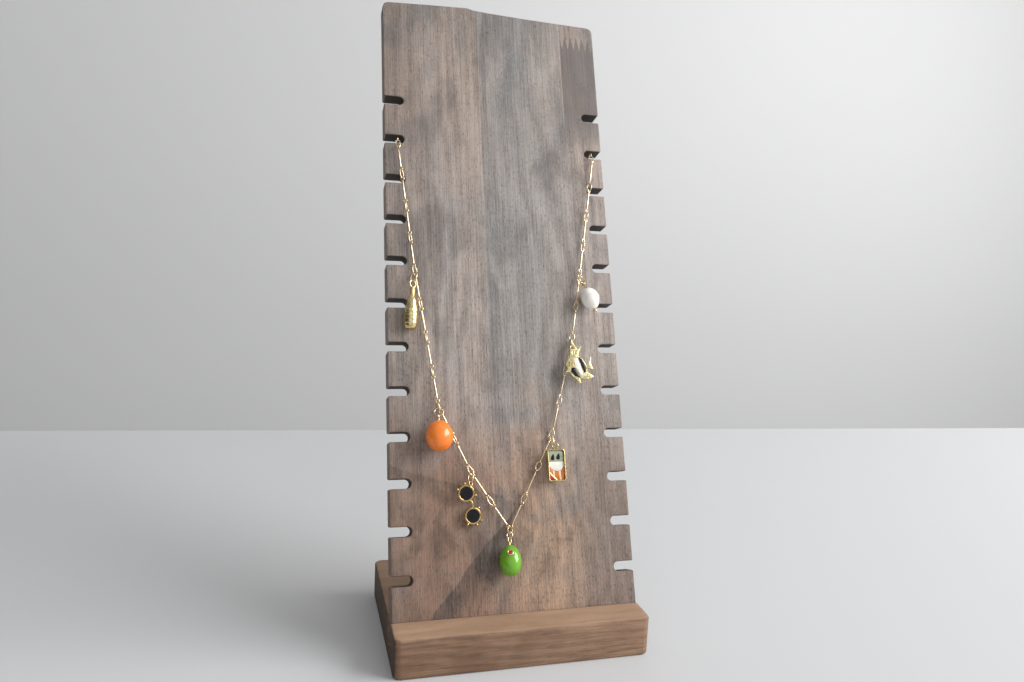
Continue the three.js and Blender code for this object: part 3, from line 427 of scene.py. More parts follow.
class Field:
    """One output of a node. Arithmetic on it adds the nodes that work it out."""

    def __init__(self, nodes, socket):
        self.nodes = nodes
        self.socket = socket

    def __add__(self, other):
        return self.nodes.math("ADD", self, other)

    def __mul__(self, other):
        return self.nodes.math("MULTIPLY", self, other)

    def __sub__(self, other):
        return self.nodes.math("SUBTRACT", self, other)

    def __rsub__(self, other):
        return self.nodes.math("SUBTRACT", other, self)

    __radd__, __rmul__ = __add__, __mul__

    def __abs__(self):
        return self.nodes.math("ABSOLUTE", self)

    def above(self, limit):
        return self.nodes.math("GREATER_THAN", self, limit)

    def folded(self, width):
        """Up and down between 0 and a width."""
        return self.nodes.math("PINGPONG", self, width)

    def ramp(self, low, high, to_low=0.0, to_high=1.0):
        """A smooth step between two values, as this goes from low to high."""
        return self.nodes.call("MapRange", {
            "Value": self, "From Min": low, "From Max": high, "To Min": to_low, "To Max": to_high,
        }, interpolation_type="SMOOTHSTEP")


class Nodes:
    """Adds nodes to one tree."""

    def __init__(self, tree):
        self.tree = tree

    def call(self, kind, inputs, output=0, **settings):
        """A node with its settings and inputs, as the field of one of its outputs."""
        node = self.tree.nodes.new("ShaderNode" + kind)
        for key, value in settings.items():
            setattr(node, key, value)
        for key, value in inputs.items():
            self.put(value, node.inputs[key])
        return Field(self, node.outputs[output])

    def put(self, value, socket):
        """A constant or a field goes into an input."""
        if isinstance(value, Field):
            self.tree.links.new(value.socket, socket)
        elif socket.type == "RGBA":
            socket.default_value = (*value, 1)
        else:
            socket.default_value = value

    def math(self, operation, a, b=0.0):
        return self.call("Math", {0: a, 1: b}, operation=operation)

    def mix(self, share, a, b):
        """A colour between two colours."""
        return self.call("Mix", {0: share, 6: a, 7: b}, 2, data_type="RGBA")

    def lay(self, share, color):
        """Lays a colour over the colour so far."""
        self.color = self.mix(share, self.color, color)

    def coordinates(self, kind="Object"):
        return self.call("TexCoord", {}, kind)

    def stretched(self, vector, scale, shift=(0, 0, 0)):
        return self.call("Mapping", {"Vector": vector, "Scale": scale, "Location": shift})

    def noise(self, vector, scale, detail=4, roughness=0.5, distortion=0.0, shift=(0, 0, 0)):
        """Noise of one scale, or of three scales where it runs along an axis."""
        if isinstance(scale, tuple):
            vector = self.stretched(vector, scale, shift)
            scale = 1.0
        return self.call("TexNoise", {"Vector": vector, "Scale": scale, "Detail": detail,
                                      "Roughness": roughness, "Distortion": distortion}, "Fac")

    def dot(self, a, b):
        return self.call("VectorMath", {0: a, 1: b}, "Value", operation="DOT_PRODUCT")

    def split(self, vector):
        node = self.call("SeparateXYZ", {0: vector}).socket.node
        return [Field(self, output) for output in node.outputs]

    def join(self, x, y, z):
        return self.call("CombineXYZ", {0: x, 1: y, 2: z})

    def bump(self, height, strength, distance, normal=None):
        inputs = {"Height": height, "Strength": strength, "Distance": distance}
        if normal:
            inputs["Normal"] = normal
        return self.call("Bump", inputs)

    def eased(self, radius):
        """A normal that rounds sharp edges over, and how near an edge is."""
        normal = self.call("Bevel", {"Radius": radius}, samples=6)
        straight = self.call("NewGeometry", {}, "Normal")
        return normal, self.dot(normal, straight).ramp(0.97, 0.8)


class Material(Nodes):
    def __init__(self, name):
        self.made = bpy.data.materials.new(name)
        self.made.use_nodes = True
        super().__init__(self.made.node_tree)

    def object_mm(self):
        """The object's own coordinates, in millimetres."""
        return self.stretched(self.coordinates(), (1 / MM,) * 3)

    def finish(self, color, roughness, normal=None, **constants):
        inputs = {"Base Color": color, "Roughness": roughness}
        if normal:
            inputs["Normal"] = normal
        for name, value in constants.items():
            inputs[name.replace("_", " ")] = value
        shader = self.tree.nodes["Principled BSDF"]
        for name, value in inputs.items():
            self.put(value, shader.inputs[name])
        return self.made


# ---- wood

# The board's colours: its stains, and the near-black painted shade of the notch walls.
BOARD_STAIN_AND_SHADING = Values(
    cool=(0.33, 0.31, 0.298), warm=(0.50, 0.405, 0.34), pale=(0.60, 0.535, 0.49),
    top=(0.22, 0.195, 0.18), blue=(0.275, 0.30, 0.31), brown=(0.37, 0.21, 0.135),
    tan=(0.58, 0.37, 0.235), right=(0.25, 0.185, 0.15), left=(0.24, 0.18, 0.145),
    smudge=(0.19, 0.172, 0.165), blot=(0.13, 0.075, 0.05), grain=(0.07, 0.055, 0.048),
    fibre=(0.6, 0.53, 0.47), short_end=(0.12, 0.105, 0.1), glue=(0.42, 0.33, 0.26),
    sawn=(0.025, 0.02, 0.018), worn=(0.13, 0.1, 0.085))
# The base's colours: its stains, a paler top colour that is a painted highlight on faces that point up, and
# a near-black end colour that is painted shade on the end faces.
BASE_STAIN_AND_SHADING = Values(
    dark=(0.25, 0.14, 0.085), light=(0.395, 0.245, 0.155), grain=(0.06, 0.035, 0.022),
    top=(0.52, 0.34, 0.22), end=(0.028, 0.016, 0.011), worn=(0.4, 0.25, 0.15))
FINGER_JOINT = Values(z=251.5, shift=0.6, width=1.45, slope=5.0)


def board_stain(n, place, x, z, across_board, own, last_strip):
    """Cool grey above and brown below, in soft upright clouds."""
    stain_and_shading = BOARD_STAIN_AND_SHADING
    cloud = n.noise(own, (0.055, 0.055, 0.017), 4, 0.6)
    smudge = n.noise(place, (0.045, 0.045, 0.03), 3, 0.6, 0.3, shift=(3, 0, 8))
    blot = n.noise(place, (0.09, 0.09, 0.05), 4, 0.65, 0.4, shift=(11, 0, 4))
    n.color = n.mix(cloud.ramp(0.28, 0.56), stain_and_shading.cool, stain_and_shading.warm)
    n.lay(z.ramp(215.0, 160.0) * z.ramp(45.0, 85.0) * 0.42, stain_and_shading.pale)
    n.lay(z.ramp(236.0, 264.0, 0.0, 0.4), stain_and_shading.top)
    middle_strip = across_board.above(STRIP_SEAMS[1]) - last_strip
    n.lay(middle_strip * x.ramp(36.0, 14.0, 0.2, 0.45), stain_and_shading.blue)
    low = ((smudge - 0.5) * 130.0 + z).ramp(100.0, 22.0)
    brown = n.mix(x.ramp(-20.0, 16.0), stain_and_shading.brown, stain_and_shading.tan)
    brown = n.mix(x.ramp(14.0, 36.0, 0.0, 0.85), brown, stain_and_shading.right)
    n.lay(low * 0.85, brown)
    n.lay(x.ramp(-28.0, -46.0) * 0.4, stain_and_shading.left)
    n.lay(smudge.ramp(0.48, 0.66) * 0.5, stain_and_shading.smudge)
    n.lay(blot.ramp(0.5, 0.7) * (low * 0.45 + 0.2), stain_and_shading.blot)


def tongue_of_grain(x, z, drift, arch):
    """A pale tongue near the foot that points right. Its edges are sharp above and fade below."""
    level = z + (arch - 0.5) * 14.0 - TONGUE.z
    inward = TONGUE.x - (x + drift)
    upper = inward * -TONGUE.upper + level
    lower = inward * TONGUE.lower + level
    upper_edge = upper.ramp(0.6, -0.6) * upper.ramp(-13.0, 0.0, 0.0, 0.22)
    lower_edge = lower.ramp(0.6, -0.6) * lower.ramp(-22.0, 0.0, 0.0, 0.4)
    return (upper_edge + lower_edge) * inward.ramp(-5.0, 7.0)


def board_wood():
    """Stained strips glued side by side. Lengths are in millimetres across and up the board."""
    n = Material("board_wood")
    stain_and_shading = BOARD_STAIN_AND_SHADING
    place = n.call("Mapping", {
        "Vector": n.coordinates(), "Location": tuple(LEAN.translation * MM),
        "Rotation": (-BOARD.lean, 0, 0), "Scale": (MM, MM, MM),
    }, vector_type="TEXTURE")
    x, y, z = n.split(place)
    drift = (n.noise(place, 0.03, 2) - 0.5) * 1.5
    across_board = x + drift

    # Each strip takes its own grain, and the stain a little differently.
    strip = sum(across_board.above(seam) for seam in STRIP_SEAMS)
    own = n.join(strip * 37.0 + x, y, strip * 113.0 + z)
    last_strip = across_board.above(STRIP_SEAMS[-1])
    board_stain(n, place, x, z, across_board, own, last_strip)

    # Growth rings wander up the board, and more so near its foot.
    warp = n.noise(own, (0.03, 0.03, 0.006), 3, 0.55)
    arch = n.noise(place, (0.03, 0.03, 0.02), 2, 0.5, 0.5, shift=(2, 0, 1))
    wander = n.mix(z.ramp(75.0, 30.0), warp * 7.0, arch * 7.0)
    rings = (x * 0.1 + wander).folded(0.5).ramp(0.05, 0.5)
    streak = n.noise(own, (1.3, 1.3, 0.016), 4, 0.65)
    fibre = n.noise(own, (3.2, 3.2, 0.14), 4, 0.7)
    pores = n.noise(own, (3.4, 3.4, 0.6), 2, 0.7).ramp(0.5, 0.7)
    dark = rings * -0.2 + 0.2 + tongue_of_grain(x, z, drift, arch)
    dark = dark + streak.ramp(0.35, 0.62, 0.26, 0.0) + fibre.ramp(0.35, 0.6, 0.24, 0.0) + pores * 0.42
    n.lay(dark, stain_and_shading.grain)
    n.lay(fibre.ramp(0.55, 0.75, 0.0, 0.3), stain_and_shading.fibre)

    # The last strip is two lengths, finger-jointed near the top, and darker below the joint.
    joint = FINGER_JOINT
    above = z - joint.z - (x + joint.shift).folded(joint.width) * joint.slope
    dim = above.ramp(0.2, -0.2) * last_strip * z.ramp(195.0, 222.0, 0.1, 0.72)
    n.lay(dim, stain_and_shading.short_end)
    n.lay(abs(above).ramp(0.9, 0.2) * last_strip * 0.35, stain_and_shading.glue)

    # Painted shade: the saw cuts' walls, and the rim beside them, are painted nearly black for the shade
    # inside the notches.
    normal = n.split(n.coordinates("Normal"))
    face = normal[2] * -sin(BOARD.lean) + normal[1] * cos(BOARD.lean)
    sawn = abs(face).ramp(0.6, 0.4) * abs(x).ramp(49.6, 49.2) * z.ramp(238.0, 232.0)
    n.lay(sawn * 0.86, stain_and_shading.sawn)

    rounded, edge = n.eased(0.5 * MM)
    worn = edge * n.noise(place, 0.5).ramp(0.3, 0.55)
    n.lay(worn * 0.6, stain_and_shading.worn)
    bumped = n.bump(pores * -0.8 + fibre * 0.6, 0.6, 0.3 * MM, rounded)
    return n.finish(n.color, fibre.ramp(0.3, 0.7, 0.62, 0.8), bumped, Specular_IOR_Level=0.35)


def base_wood():
    n = Material("base_wood")
    stain_and_shading = BASE_STAIN_AND_SHADING
    place = n.object_mm()
    _, y, z = n.split(place)
    warp = n.noise(place, (0.012, 0.05, 0.05), 3, 0.55)
    rings = (y * 0.09 + z * 0.3 + warp * 5.0).folded(0.5).ramp(0.05, 0.45)
    fibre = n.noise(place, (0.06, 2.2, 2.2), 5, 0.65)
    pores = n.noise(place, (0.25, 4.6, 4.6), 2, 0.6).ramp(0.56, 0.7)
    cloud = n.noise(place, (0.03, 0.06, 0.06), 4, 0.6)
    n.color = n.mix(cloud.ramp(0.3, 0.7), stain_and_shading.dark, stain_and_shading.light)
    dark = (1.0 - rings) * 0.22 + fibre.ramp(0.42, 0.62, 0.25, 0.0) + pores * 0.22
    n.lay(dark, stain_and_shading.grain)
    normal = n.split(n.coordinates("Normal"))
    # Painted highlight: faces that point up are painted paler, where the light falls on them.
    n.lay(normal[2].ramp(0.6, 0.9, 0.0, 0.4), stain_and_shading.top)
    # Painted shade: both end faces are painted nearly black, for the deep shade on the base's left end.
    n.lay(abs(normal[0]).ramp(0.6, 0.9, 0.0, 0.78), stain_and_shading.end)
    rounded, edge = n.eased(0.6 * MM)
    worn = edge * n.noise(place, 0.4).ramp(0.35, 0.6)
    n.lay(worn * 0.45, stain_and_shading.worn)
    bumped = n.bump(fibre * 0.6 + pores * -0.5, 0.5, 0.25 * MM, rounded)
    return n.finish(n.color, fibre.ramp(0.3, 0.7, 0.58, 0.76), bumped, Specular_IOR_Level=0.35)


# ---- metal, enamel and pearl


def gold(name, bright, deep):
    n = Material(name)
    place = n.object_mm()
    color = n.mix(n.noise(place, 0.9, 4, 0.6).ramp(0.35, 0.7), bright, deep)
    scuffs = n.noise(place, (3, 9, 3), 3, 0.7)
    normal = n.bump(n.noise(place, 2.2, 3, 0.6), 0.22, 0.06 * MM)
    return n.finish(color, scuffs.ramp(0.35, 0.7, 0.14, 0.3), normal, Metallic=1.0)


def enamel(name, color, deep, rough=0.12, bump=0.1, scale=0.7, coat=0.4, specular=0.5):
    """Glossy enamel whose depth of colour drifts a little."""
    n = Material(name)
    place = n.object_mm()
    shade = n.mix(n.noise(place, scale, 4, 0.6).ramp(0.3, 0.7), color, deep)
    uneven = n.noise(place, 2.5, 3).ramp(0.3, 0.75, rough, rough + 0.14)
    normal = n.bump(n.noise(place, 1.1, 3, 0.5), bump, 0.08 * MM)
    return n.finish(shade, uneven, normal, Coat_Weight=coat, Coat_Roughness=0.06,
                    Specular_IOR_Level=specular)


def pearl_nacre():
    n = Material("pearl")
    place = n.object_mm()
    drift = n.noise(place, 0.22, 3, 0.6).ramp(0.35, 0.65)
    shade = n.mix(drift, (1.0, 0.985, 0.93), (0.985, 0.93, 0.80))
    fine = n.noise(place, 1.6, 4, 0.65)
    return n.finish(shade, fine.ramp(0.3, 0.7, 0.2, 0.34), n.bump(fine, 0.25, 0.12 * MM), Coat_Weight=0.7,
                    Coat_Roughness=0.16, Sheen_Weight=0.25)


def amber_enamel():
    """Amber enamel with wavy pale-gold lines under it."""
    n = Material("amber_enamel")
    place = n.object_mm()
    inputs = {"Vector": place, "Scale": 0.1, "Distortion": 4.5, "Detail": 1.0, "Detail Scale": 0.8}
    wave = n.call("TexWave", inputs, "Fac", wave_type="BANDS", bands_direction="X", wave_profile="SIN")
    lines = wave.ramp(0.8, 0.93)
    color = n.mix(n.noise(place, 0.8, 3).ramp(0.3, 0.7), (0.72, 0.22, 0.04), (0.5, 0.12, 0.02))
    color = n.mix(lines * 0.85, color, (0.93, 0.76, 0.48))
    return n.finish(color, 0.16, n.bump(lines, 0.4, 0.12 * MM), Coat_Weight=0.4, Coat_Roughness=0.06)


BOARD_WOOD = board_wood()
BASE_WOOD = base_wood()
GOLD = gold("gold", (0.85, 0.70, 0.38), (0.62, 0.47, 0.20))
BRASS = gold("brass", (0.64, 0.45, 0.19), (0.40, 0.26, 0.10))
CHAIN_GOLD = gold("chain_gold", (0.90, 0.74, 0.51), (0.76, 0.57, 0.35))
PALE_GOLD = gold("pale_gold", (0.82, 0.73, 0.42), (0.54, 0.45, 0.20))
ORANGE = enamel("orange_enamel", (1.0, 0.28, 0.035), (0.95, 0.205, 0.02), 0.18, 0.12, 0.2)
GREEN = enamel("green_enamel", (0.165, 0.42, 0.018), (0.125, 0.35, 0.013), 0.12, 0.08, 0.2)
BLACK = enamel("black_enamel", (0.006, 0.006, 0.008), (0.012, 0.010, 0.012), 0.14, coat=0.0, specular=0.3)
WHITE = enamel("white_enamel", (0.90, 0.88, 0.81), (0.82, 0.78, 0.68))
SILVER = enamel("silver_enamel", (0.42, 0.47, 0.35), (0.27, 0.31, 0.2), 0.2, 0.25, 1.4)
YELLOW = enamel("yellow_enamel", (0.72, 0.44, 0.05), (0.6, 0.3, 0.03))
RED = enamel("red_enamel", (0.45, 0.02, 0.035), (0.3, 0.012, 0.02))
AMBER = amber_enamel()
PEARL = pearl_nacre()
METALS = (GOLD, BRASS, CHAIN_GOLD, PALE_GOLD)

# ---- the stand

BOARD_TOP = [(-47.6, 264.6), (-28.5, 265.8), (-11.4, 266.7), (-8.0, 265.9), (0.0, 265.4), (17.0, 264.8),
             (47.6, 264.2)]
CORNER_SLANT = 0.3
ROUND_STEPS = 12  # flats round a notch's end


def rounded_rectangle(half_width, half_height, corner, steps=8):
    out = []
    for k, (sx, sy) in enumerate(((1, -1), (1, 1), (-1, 1), (-1, -1))):
        for i in range(steps + 1):
            turn = pi / 2 * (k - 1 + i / steps)
            out.append((sx * (half_width - corner) + corner * cos(turn),
                        sy * (half_height - corner) + corner * sin(turn)))
    return out


def board_side(side):
    """One side of the board's outline, upward, with its notches."""
    half, r = BOARD.width / 2, NOTCH.height / 2
    out = [(side * half, BOARD.gap - BOARD.foot)]
    for row in reversed(range(NOTCH.count)):
        z = NOTCH.highest - NOTCH.pitch * row - r
        out.append((side * half, z - r))
        for k in range(ROUND_STEPS + 1):
            turn = -pi / 2 + pi * k / ROUND_STEPS
            out.append((side * (half - NOTCH.depth + r - r * cos(turn)), z + r * sin(turn)))
        out.append((side * half, z + r))
    return out


def display_board():
    half, corner = BOARD.width / 2, BOARD.corner
    slant = corner * CORNER_SLANT
    left, right = BOARD_TOP[0][1], BOARD_TOP[-1][1]
    outline = board_side(1) + [(half, right - corner), (half - slant, right - slant)]
    outline += BOARD_TOP[::-1]
    outline += [(-half + slant, left - slant), (-half, left - corner)] + board_side(-1)[::-1]
    rows = [[Vector((x, y, z)) for x, z in outline] for y in (0, BOARD.thickness)]
    board = mesh_object("fine_display_board", Shell().grid(rows), ease=BOARD.edge)
    finish_piece(board, BOARD_WOOD, 35, "display_board")


def display_base():
    """The block, its edges eased, with the slanting groove sawn through its top."""
    edge = BASE.edge
    rows = []
    for level, steps in ((edge, range(5)), (BASE.height - edge, range(4, 9))):
        for k in steps:
            turn = pi * k / 8
            inset, z = edge * (1 - sin(turn)), level - edge * cos(turn)
            outline = rounded_rectangle(BASE.width / 2 - inset, BASE.depth / 2 - inset, BASE.corner - inset)
            rows.append(raised(outline, z))
    base = mesh_object("fine_display_base", Shell().grid(rows), UPRIGHT)
    near, far = -BOARD.gap, BOARD.thickness + BOARD.gap
    low, high = -BOARD.foot, 3 * BOARD.foot
    corners = [(near, low), (far, low), (far, high), (near, high)]
    ends = (-BASE.width, BASE.width)
    groove = Shell().grid([[LEAN @ Vector((x, y, z)) for y, z in corners] for x in ends])
    combined(base, mesh_object("groove", groove, UPRIGHT), "DIFFERENCE")
    finish_piece(base, BASE_WOOD, 35, "display_base")


display_board()
display_base()

# ---- the chain's two halves


def roll_behind(i):
    return BACK_ROLL.step * i - BACK_ROLL.first


def chain_half(node, side):
    """Round-wired bars and rings along the chain's path, joined into one soldered body."""
    eyes, links = Shell(), Shell()

    def bar(start, finish, roll, up):
        axis = along(start, finish)
        normal = rolled(axis, roll, up)
        for centre in (start, finish):
            eyes.ring(frame_at(centre, axis, normal), LINK.eye, LINK.eye, LINK.eye_wire, 24)
        inset = LINK.eye * LINK.past_eye
        links.rod(start + axis * inset, finish - axis * inset, BAR_SHAPE)

    def ring(start, finish, roll, up):
        axis = along(start, finish)
        place = frame_at((start + finish) / 2, axis, rolled(axis, roll, up))
        links.ring(place, RING_LENGTH * FLAT - SHY, LINK.ring_width, LINK.ring_wire)

    if side < 0:
        place = frame_at(front_joints[BOTTOM], lowest_to_eye(-1), lowest_normal)
        radius = LOWEST.radius * FLAT - SHY
        links.ring(place, radius, radius, LINK.ring_wire)
    bars = range(BOTTOM, 0, -1) if side < 0 else range(BOTTOM + 1, FRONT_BARS + 1)
    for i in bars:
        bar(front_eye(i, side > 0), front_eye(i, side < 0), side * front_roll(i), OUT)
        if i != bars[-1]:
            roll = side * joint_roll(min(i, i + side))
            ring(front_eye(i, side < 0), front_eye(i + side, side > 0), roll, OUT)
    ring(first_eye(side), face_eye(side), 0, OUT)
    bar(face_eye(side), behind_eye(side), 90, UP)
    path = [UNLEAN @ eye for eye in (back_eyes if side < 0 else back_eyes[::-1])]
    for i in range(BACK_BARS):
        before, start, finish = path[2 * i:2 * i + 3]
        ring(before, start, (roll_behind(i - 1) + roll_behind(i)) / 2 + 90 if i else 0, BACK_OUT)
        bar(start, finish, roll_behind(i), BACK_OUT)
    last, towards = path[2 * BACK_BARS:2 * BACK_BARS + 2]
    ring(last, last + along(last, towards) * 2 * LINK.reach, 90, BACK_OUT)
    half = combined(mesh_object(f"fine_{node}", links), mesh_object("eyes", eyes))
    finish_piece(half, CHAIN_GOLD, 50, node)


def make_clasp():
    """A smooth ring with its small eye."""
    start, towards = back_eyes[2 * BACK_BARS + 1:2 * BACK_BARS + 3]
    axis = along(start, towards)
    centre = start + axis * CLASP_REACH
    radius, eye = CLASP.radius * CLASP.round, CLASP.eye
    ring = Shell().ring(frame_at(centre, axis, OUT), radius, radius, CLASP.wire, 56, 16)
    small = Shell().ring(frame_at(centre + axis * CLASP_EYE, axis, OUT), eye, eye, CLASP.eye_wire, 32, 12)
    clasp = combined(mesh_object("fine_clasp", ring, UPRIGHT), mesh_object("clasp_eye", small, UPRIGHT))
    finish_piece(clasp, GOLD, 50, "clasp")


chain_half("chain_left", -1)
chain_half("chain_right", 1)
make_clasp()

# ---- how a charm hangs


def downward(side, out):
    """A direction that hangs down, swung to the side and out from the board."""
    side, out = radians(side), radians(out)
    return Vector((sin(side) * cos(out), -sin(out), -cos(side) * cos(out)))


def hanging(charm):
    """A charm's jump ring, the charm's own frame in metres, and the ring's pass through its loop."""
    ends = front_eye(charm.joint, False), front_eye(charm.joint + 1, True)
    at_bottom = charm.joint == BOTTOM
    centre = front_joints[BOTTOM] if at_bottom else (ends[0] + ends[1]) / 2
    joint_normal = lowest_normal if at_bottom else rolled(along(*ends), charm.turn, OUT)
    down = downward(charm.side, charm.out)
    passing = across(joint_normal, down)
    ring_reach = charm.ring * FLAT
    ring_centre = centre + down * (SLIDE + ring_reach)
    ring_place = frame_at(ring_centre, down, down.cross(passing))
    ring = Shell().ring(ring_place, ring_reach, charm.width * JUMP_ROUND, JUMP_WIRE, 44, 12)
    hooked = JUMP_WIRE + LOOP_WIRE + charm.slack
    origin = ring_centre + down * (ring_reach - hooked + charm.loop * FLAT)
    up = -downward(charm.lean, charm.tip)
    front = across(OUT, up)
    place = Matrix((up.cross(front), up, front)).transposed().to_4x4()
    local_pass = place.to_3x3().inverted() @ across(passing, up)
    place.translation = origin
    place = LEAN @ place
    place.translation *= MM
    return ring, place, local_pass


class Charm:
    """Pieces in one charm's own frame, each made in millimetres about its loop's centre."""

    def __init__(self, name):
        self.name = name
        self.loop = CHARMS[name].loop
        ring, self.place, self.passing = hanging(CHARMS[name])
        finish_piece(mesh_object(f"fine_{name}_jump_ring", ring), CHAIN_GOLD, 50, f"{name}_jump_ring")

    def solid(self, *shells, ease=0.0):
        """One closed mesh from one or more closed shells that overlap."""
        made = None
        for shell in shells:
            piece = mesh_object("part", shell, UPRIGHT, ease)
            piece.matrix_world = self.place
            bpy.context.view_layer.update()
            made = combined(made, piece) if made else piece
        return made

    def piece(self, made, node, material, angle=50, replaces=True):
        made.name = f"fine_{node}"
        finish_piece(made, material, angle, *([node] if replaces else []))

    def own_loop(self):
        radius = self.loop * LOOP_ROUND
        return Shell().ring(frame_at(Vector(), TOP, self.passing), radius, radius, LOOP_WIRE, 40, 12)

    def pin(self, low, *extra):
        """The looped pin, down to `low`, with what else is soldered to it."""
        radius = PIN.radius
        stem = Shell().rod(Vector((0, low, 0)), Vector((0, LOOP_BITE - self.loop, 0)),
                           [(0, radius * 0.8), (0.04, radius), (0.96, radius), (1, 0.2)])
        self.piece(self.solid(self.own_loop(), stem, *extra), f"{self.name}_pin", GOLD, 40)


def spline(rows, spacing):
    """Points on a smooth line through (y, r) rows."""
    out = []
    last = len(rows) - 1
    for i in range(last):
        a, b, c, d = (Vector(rows[max(0, min(last, k))]) for k in (i - 1, i, i + 1, i + 2))
        steps = max(1, round((c - b).length / spacing))
        for k in range(steps):
            t = k / steps
            out.append(tuple(0.5 * ((2 * b) + (c - a) * t + (2 * a - 5 * b + 4 * c - d) * t ** 2
                                    + (3 * b - a - 3 * c + d) * t ** 3)))
    return out + [tuple(rows[-1])]


def smooth_step(value, low, high):
    share = max(0.0, min(1.0, (value - low) / (high - low)))
    return share * share * (3 - 2 * share)


def ball(centre, radius, sides=20, rows=12):
    """A ball whose poles are very small flats."""
    angles = [pi * (k + 0.12) / (rows + 0.24) for k in range(rows + 1)]
    profile = [(radius * cos(angle), radius * sin(angle)) for angle in angles]
    return Shell().lathe(profile, sides, Matrix.Translation(centre))


def crown(radius, rise, level, steps):
    """The profile of a low dome, from its top to its rim."""
    quarter = pi / 2
    return [(rise * cos(quarter * k / steps) + level, radius * sin(quarter * (k + 0.1) / (steps + 0.1)))
            for k in range(steps + 1)]


# ---- the bottle

BOTTLE = [(0.0, 0.8), (0.3, 0.95), (1.0, 0.95), (3.3, 1.07), (5.3, 1.75), (7.3, 2.3), (9.3, 2.6),
          (12.4, 2.8), (15.5, 2.75), (17.3, 2.3), (17.9, 1.6)]
BEAD = Values(down=0.7, spread=0.2, lift=0.12)
FOIL = Values(bottom=6.3, lift=0.05, scallop=0.16, scallops=9, soft=0.06)
BELT = Values(top=9.5, bottom=10.6, lift=0.07, beading=0.04, beads=26, soft=0.1)
LABEL = Values(top=11.1, bottom=15.7, half=1.2, lift=0.09, sunk=0.07, lines=3, soft=0.08, side=0.06)


def between(down, band):
    """1 inside a band of the bottle's height, and 0 outside."""
    soft = band.soft
    return (smooth_step(down, band.top - soft, band.top + soft)
            * (1 - smooth_step(down, band.bottom - soft, band.bottom + soft)))


def bottle_relief(down, turn):
    """How far the cast relief stands off the bottle's smooth side."""
    turn = (turn + pi) % (2 * pi) - pi
    lift = BEAD.lift * exp(-((down - BEAD.down) / BEAD.spread) ** 2)
    edge = FOIL.bottom + FOIL.scallop * cos(FOIL.scallops * turn)
    lift += FOIL.lift * (1 - smooth_step(down, edge - FOIL.soft, edge + FOIL.soft))
    lift += between(down, BELT) * (BELT.lift + BELT.beading * cos(BELT.beads * turn))
    half, side = LABEL.half, LABEL.side
    panel = between(down, LABEL) * (1 - smooth_step(abs(turn), half - side, half + side))
    share = (down - LABEL.top) / (LABEL.bottom - LABEL.top)
    wave = cos(2 * pi * (LABEL.lines * share + 0.16 * sin(5 * turn)))
    inner = smooth_step(min(share, 1 - share, (half - abs(turn)) * 0.55), 0.06, 0.12)
    return lift + panel * (LABEL.lift - inner * LABEL.sunk * (1 - max(0, wave)))


def make_bottle():
    charm = Charm("bottle")
    neck = LOOP_BITE - charm.loop
    profile = [(neck - down, r) for down, r in spline(BOTTLE, 0.11)]
    body = Shell().lathe(profile, 96, shape=lambda y, r, turn: r + bottle_relief(neck - y, turn))
    charm.piece(charm.solid(body, charm.own_loop()), "bottle", GOLD, 60)


# ---- pinned round charms

ORANGE_FRUIT = Values(width=11.2, height=12.4, drop=8.4)
OLIVE_FRUIT = Values(width=8.9, height=12.2, drop=7.9)
PEARL_DROP = Values(width=7.8, height=10.0, drop=7.4, ball=0.85)
PIN = Values(radius=0.32, hole=0.4, depth=3.0)
STUFFING = Values(up=radians(32), side=radians(-14), pocket=1.3, deep=0.9, rim=1.0,
    wire=0.29, sunk=0.1, fill=0.74)


def round_body(size, dimple, lumps, seed, full=0.0, through=False):
    """A body of revolution, a little uneven and fuller below, with a hole for its pin."""
    half, radius, drop = size.height / 2, size.width / 2, size.drop
    start = asin(PIN.hole / radius)
    finish = pi - (start if through else 0.04)
    steps = 56
    rows = []
    for k in range(steps + 1):
        t = start + (finish - start) * k / steps
        y, r = half * cos(t), radius * sin(t) * (1 - full * cos(t) - full * 0.3 * sin(t) ** 2)
        if t < pi / 2:
            y -= dimple * exp(-(r / 1.2) ** 2)
        rows.append((y, r))
    top = rows[0][0]
    hole_end = -top if through else top - PIN.depth - 0.3
    rows = [(hole_end, PIN.hole), (top - 0.08, PIN.hole)] + rows

    def uneven(y, r, turn):
        if r < PIN.hole * 1.5:
            return r
        toward = Vector((r * sin(turn), y + drop, r * cos(turn))).normalized()
        return r * (1 + lumps * noise.noise(toward * 1.6 + Vector((seed, 0, 0))))

    return Shell().lathe([(y - drop, r) for y, r in rows], 72, shape=uneven, closed=through)


def pin_end(size):
    return size.height / 2 - size.drop - PIN.depth


def make_orange():
    charm = Charm("orange")
    charm.piece(charm.solid(round_body(ORANGE_FRUIT, 0.35, 0.03, 3.0, 0.04)), "orange", ORANGE, 60)
    charm.pin(pin_end(ORANGE_FRUIT))


def make_pearl():
    charm = Charm("pearl")
    low = -PEARL_DROP.drop - PEARL_DROP.height / 2 - PEARL_DROP.ball * 0.9
    body = round_body(PEARL_DROP, 0.1, 0.06, 11.0, -0.05, through=True)
    charm.piece(charm.solid(body), "pearl", PEARL, 60)
    charm.pin(low, ball(Vector((0, low, 0)), PEARL_DROP.ball))


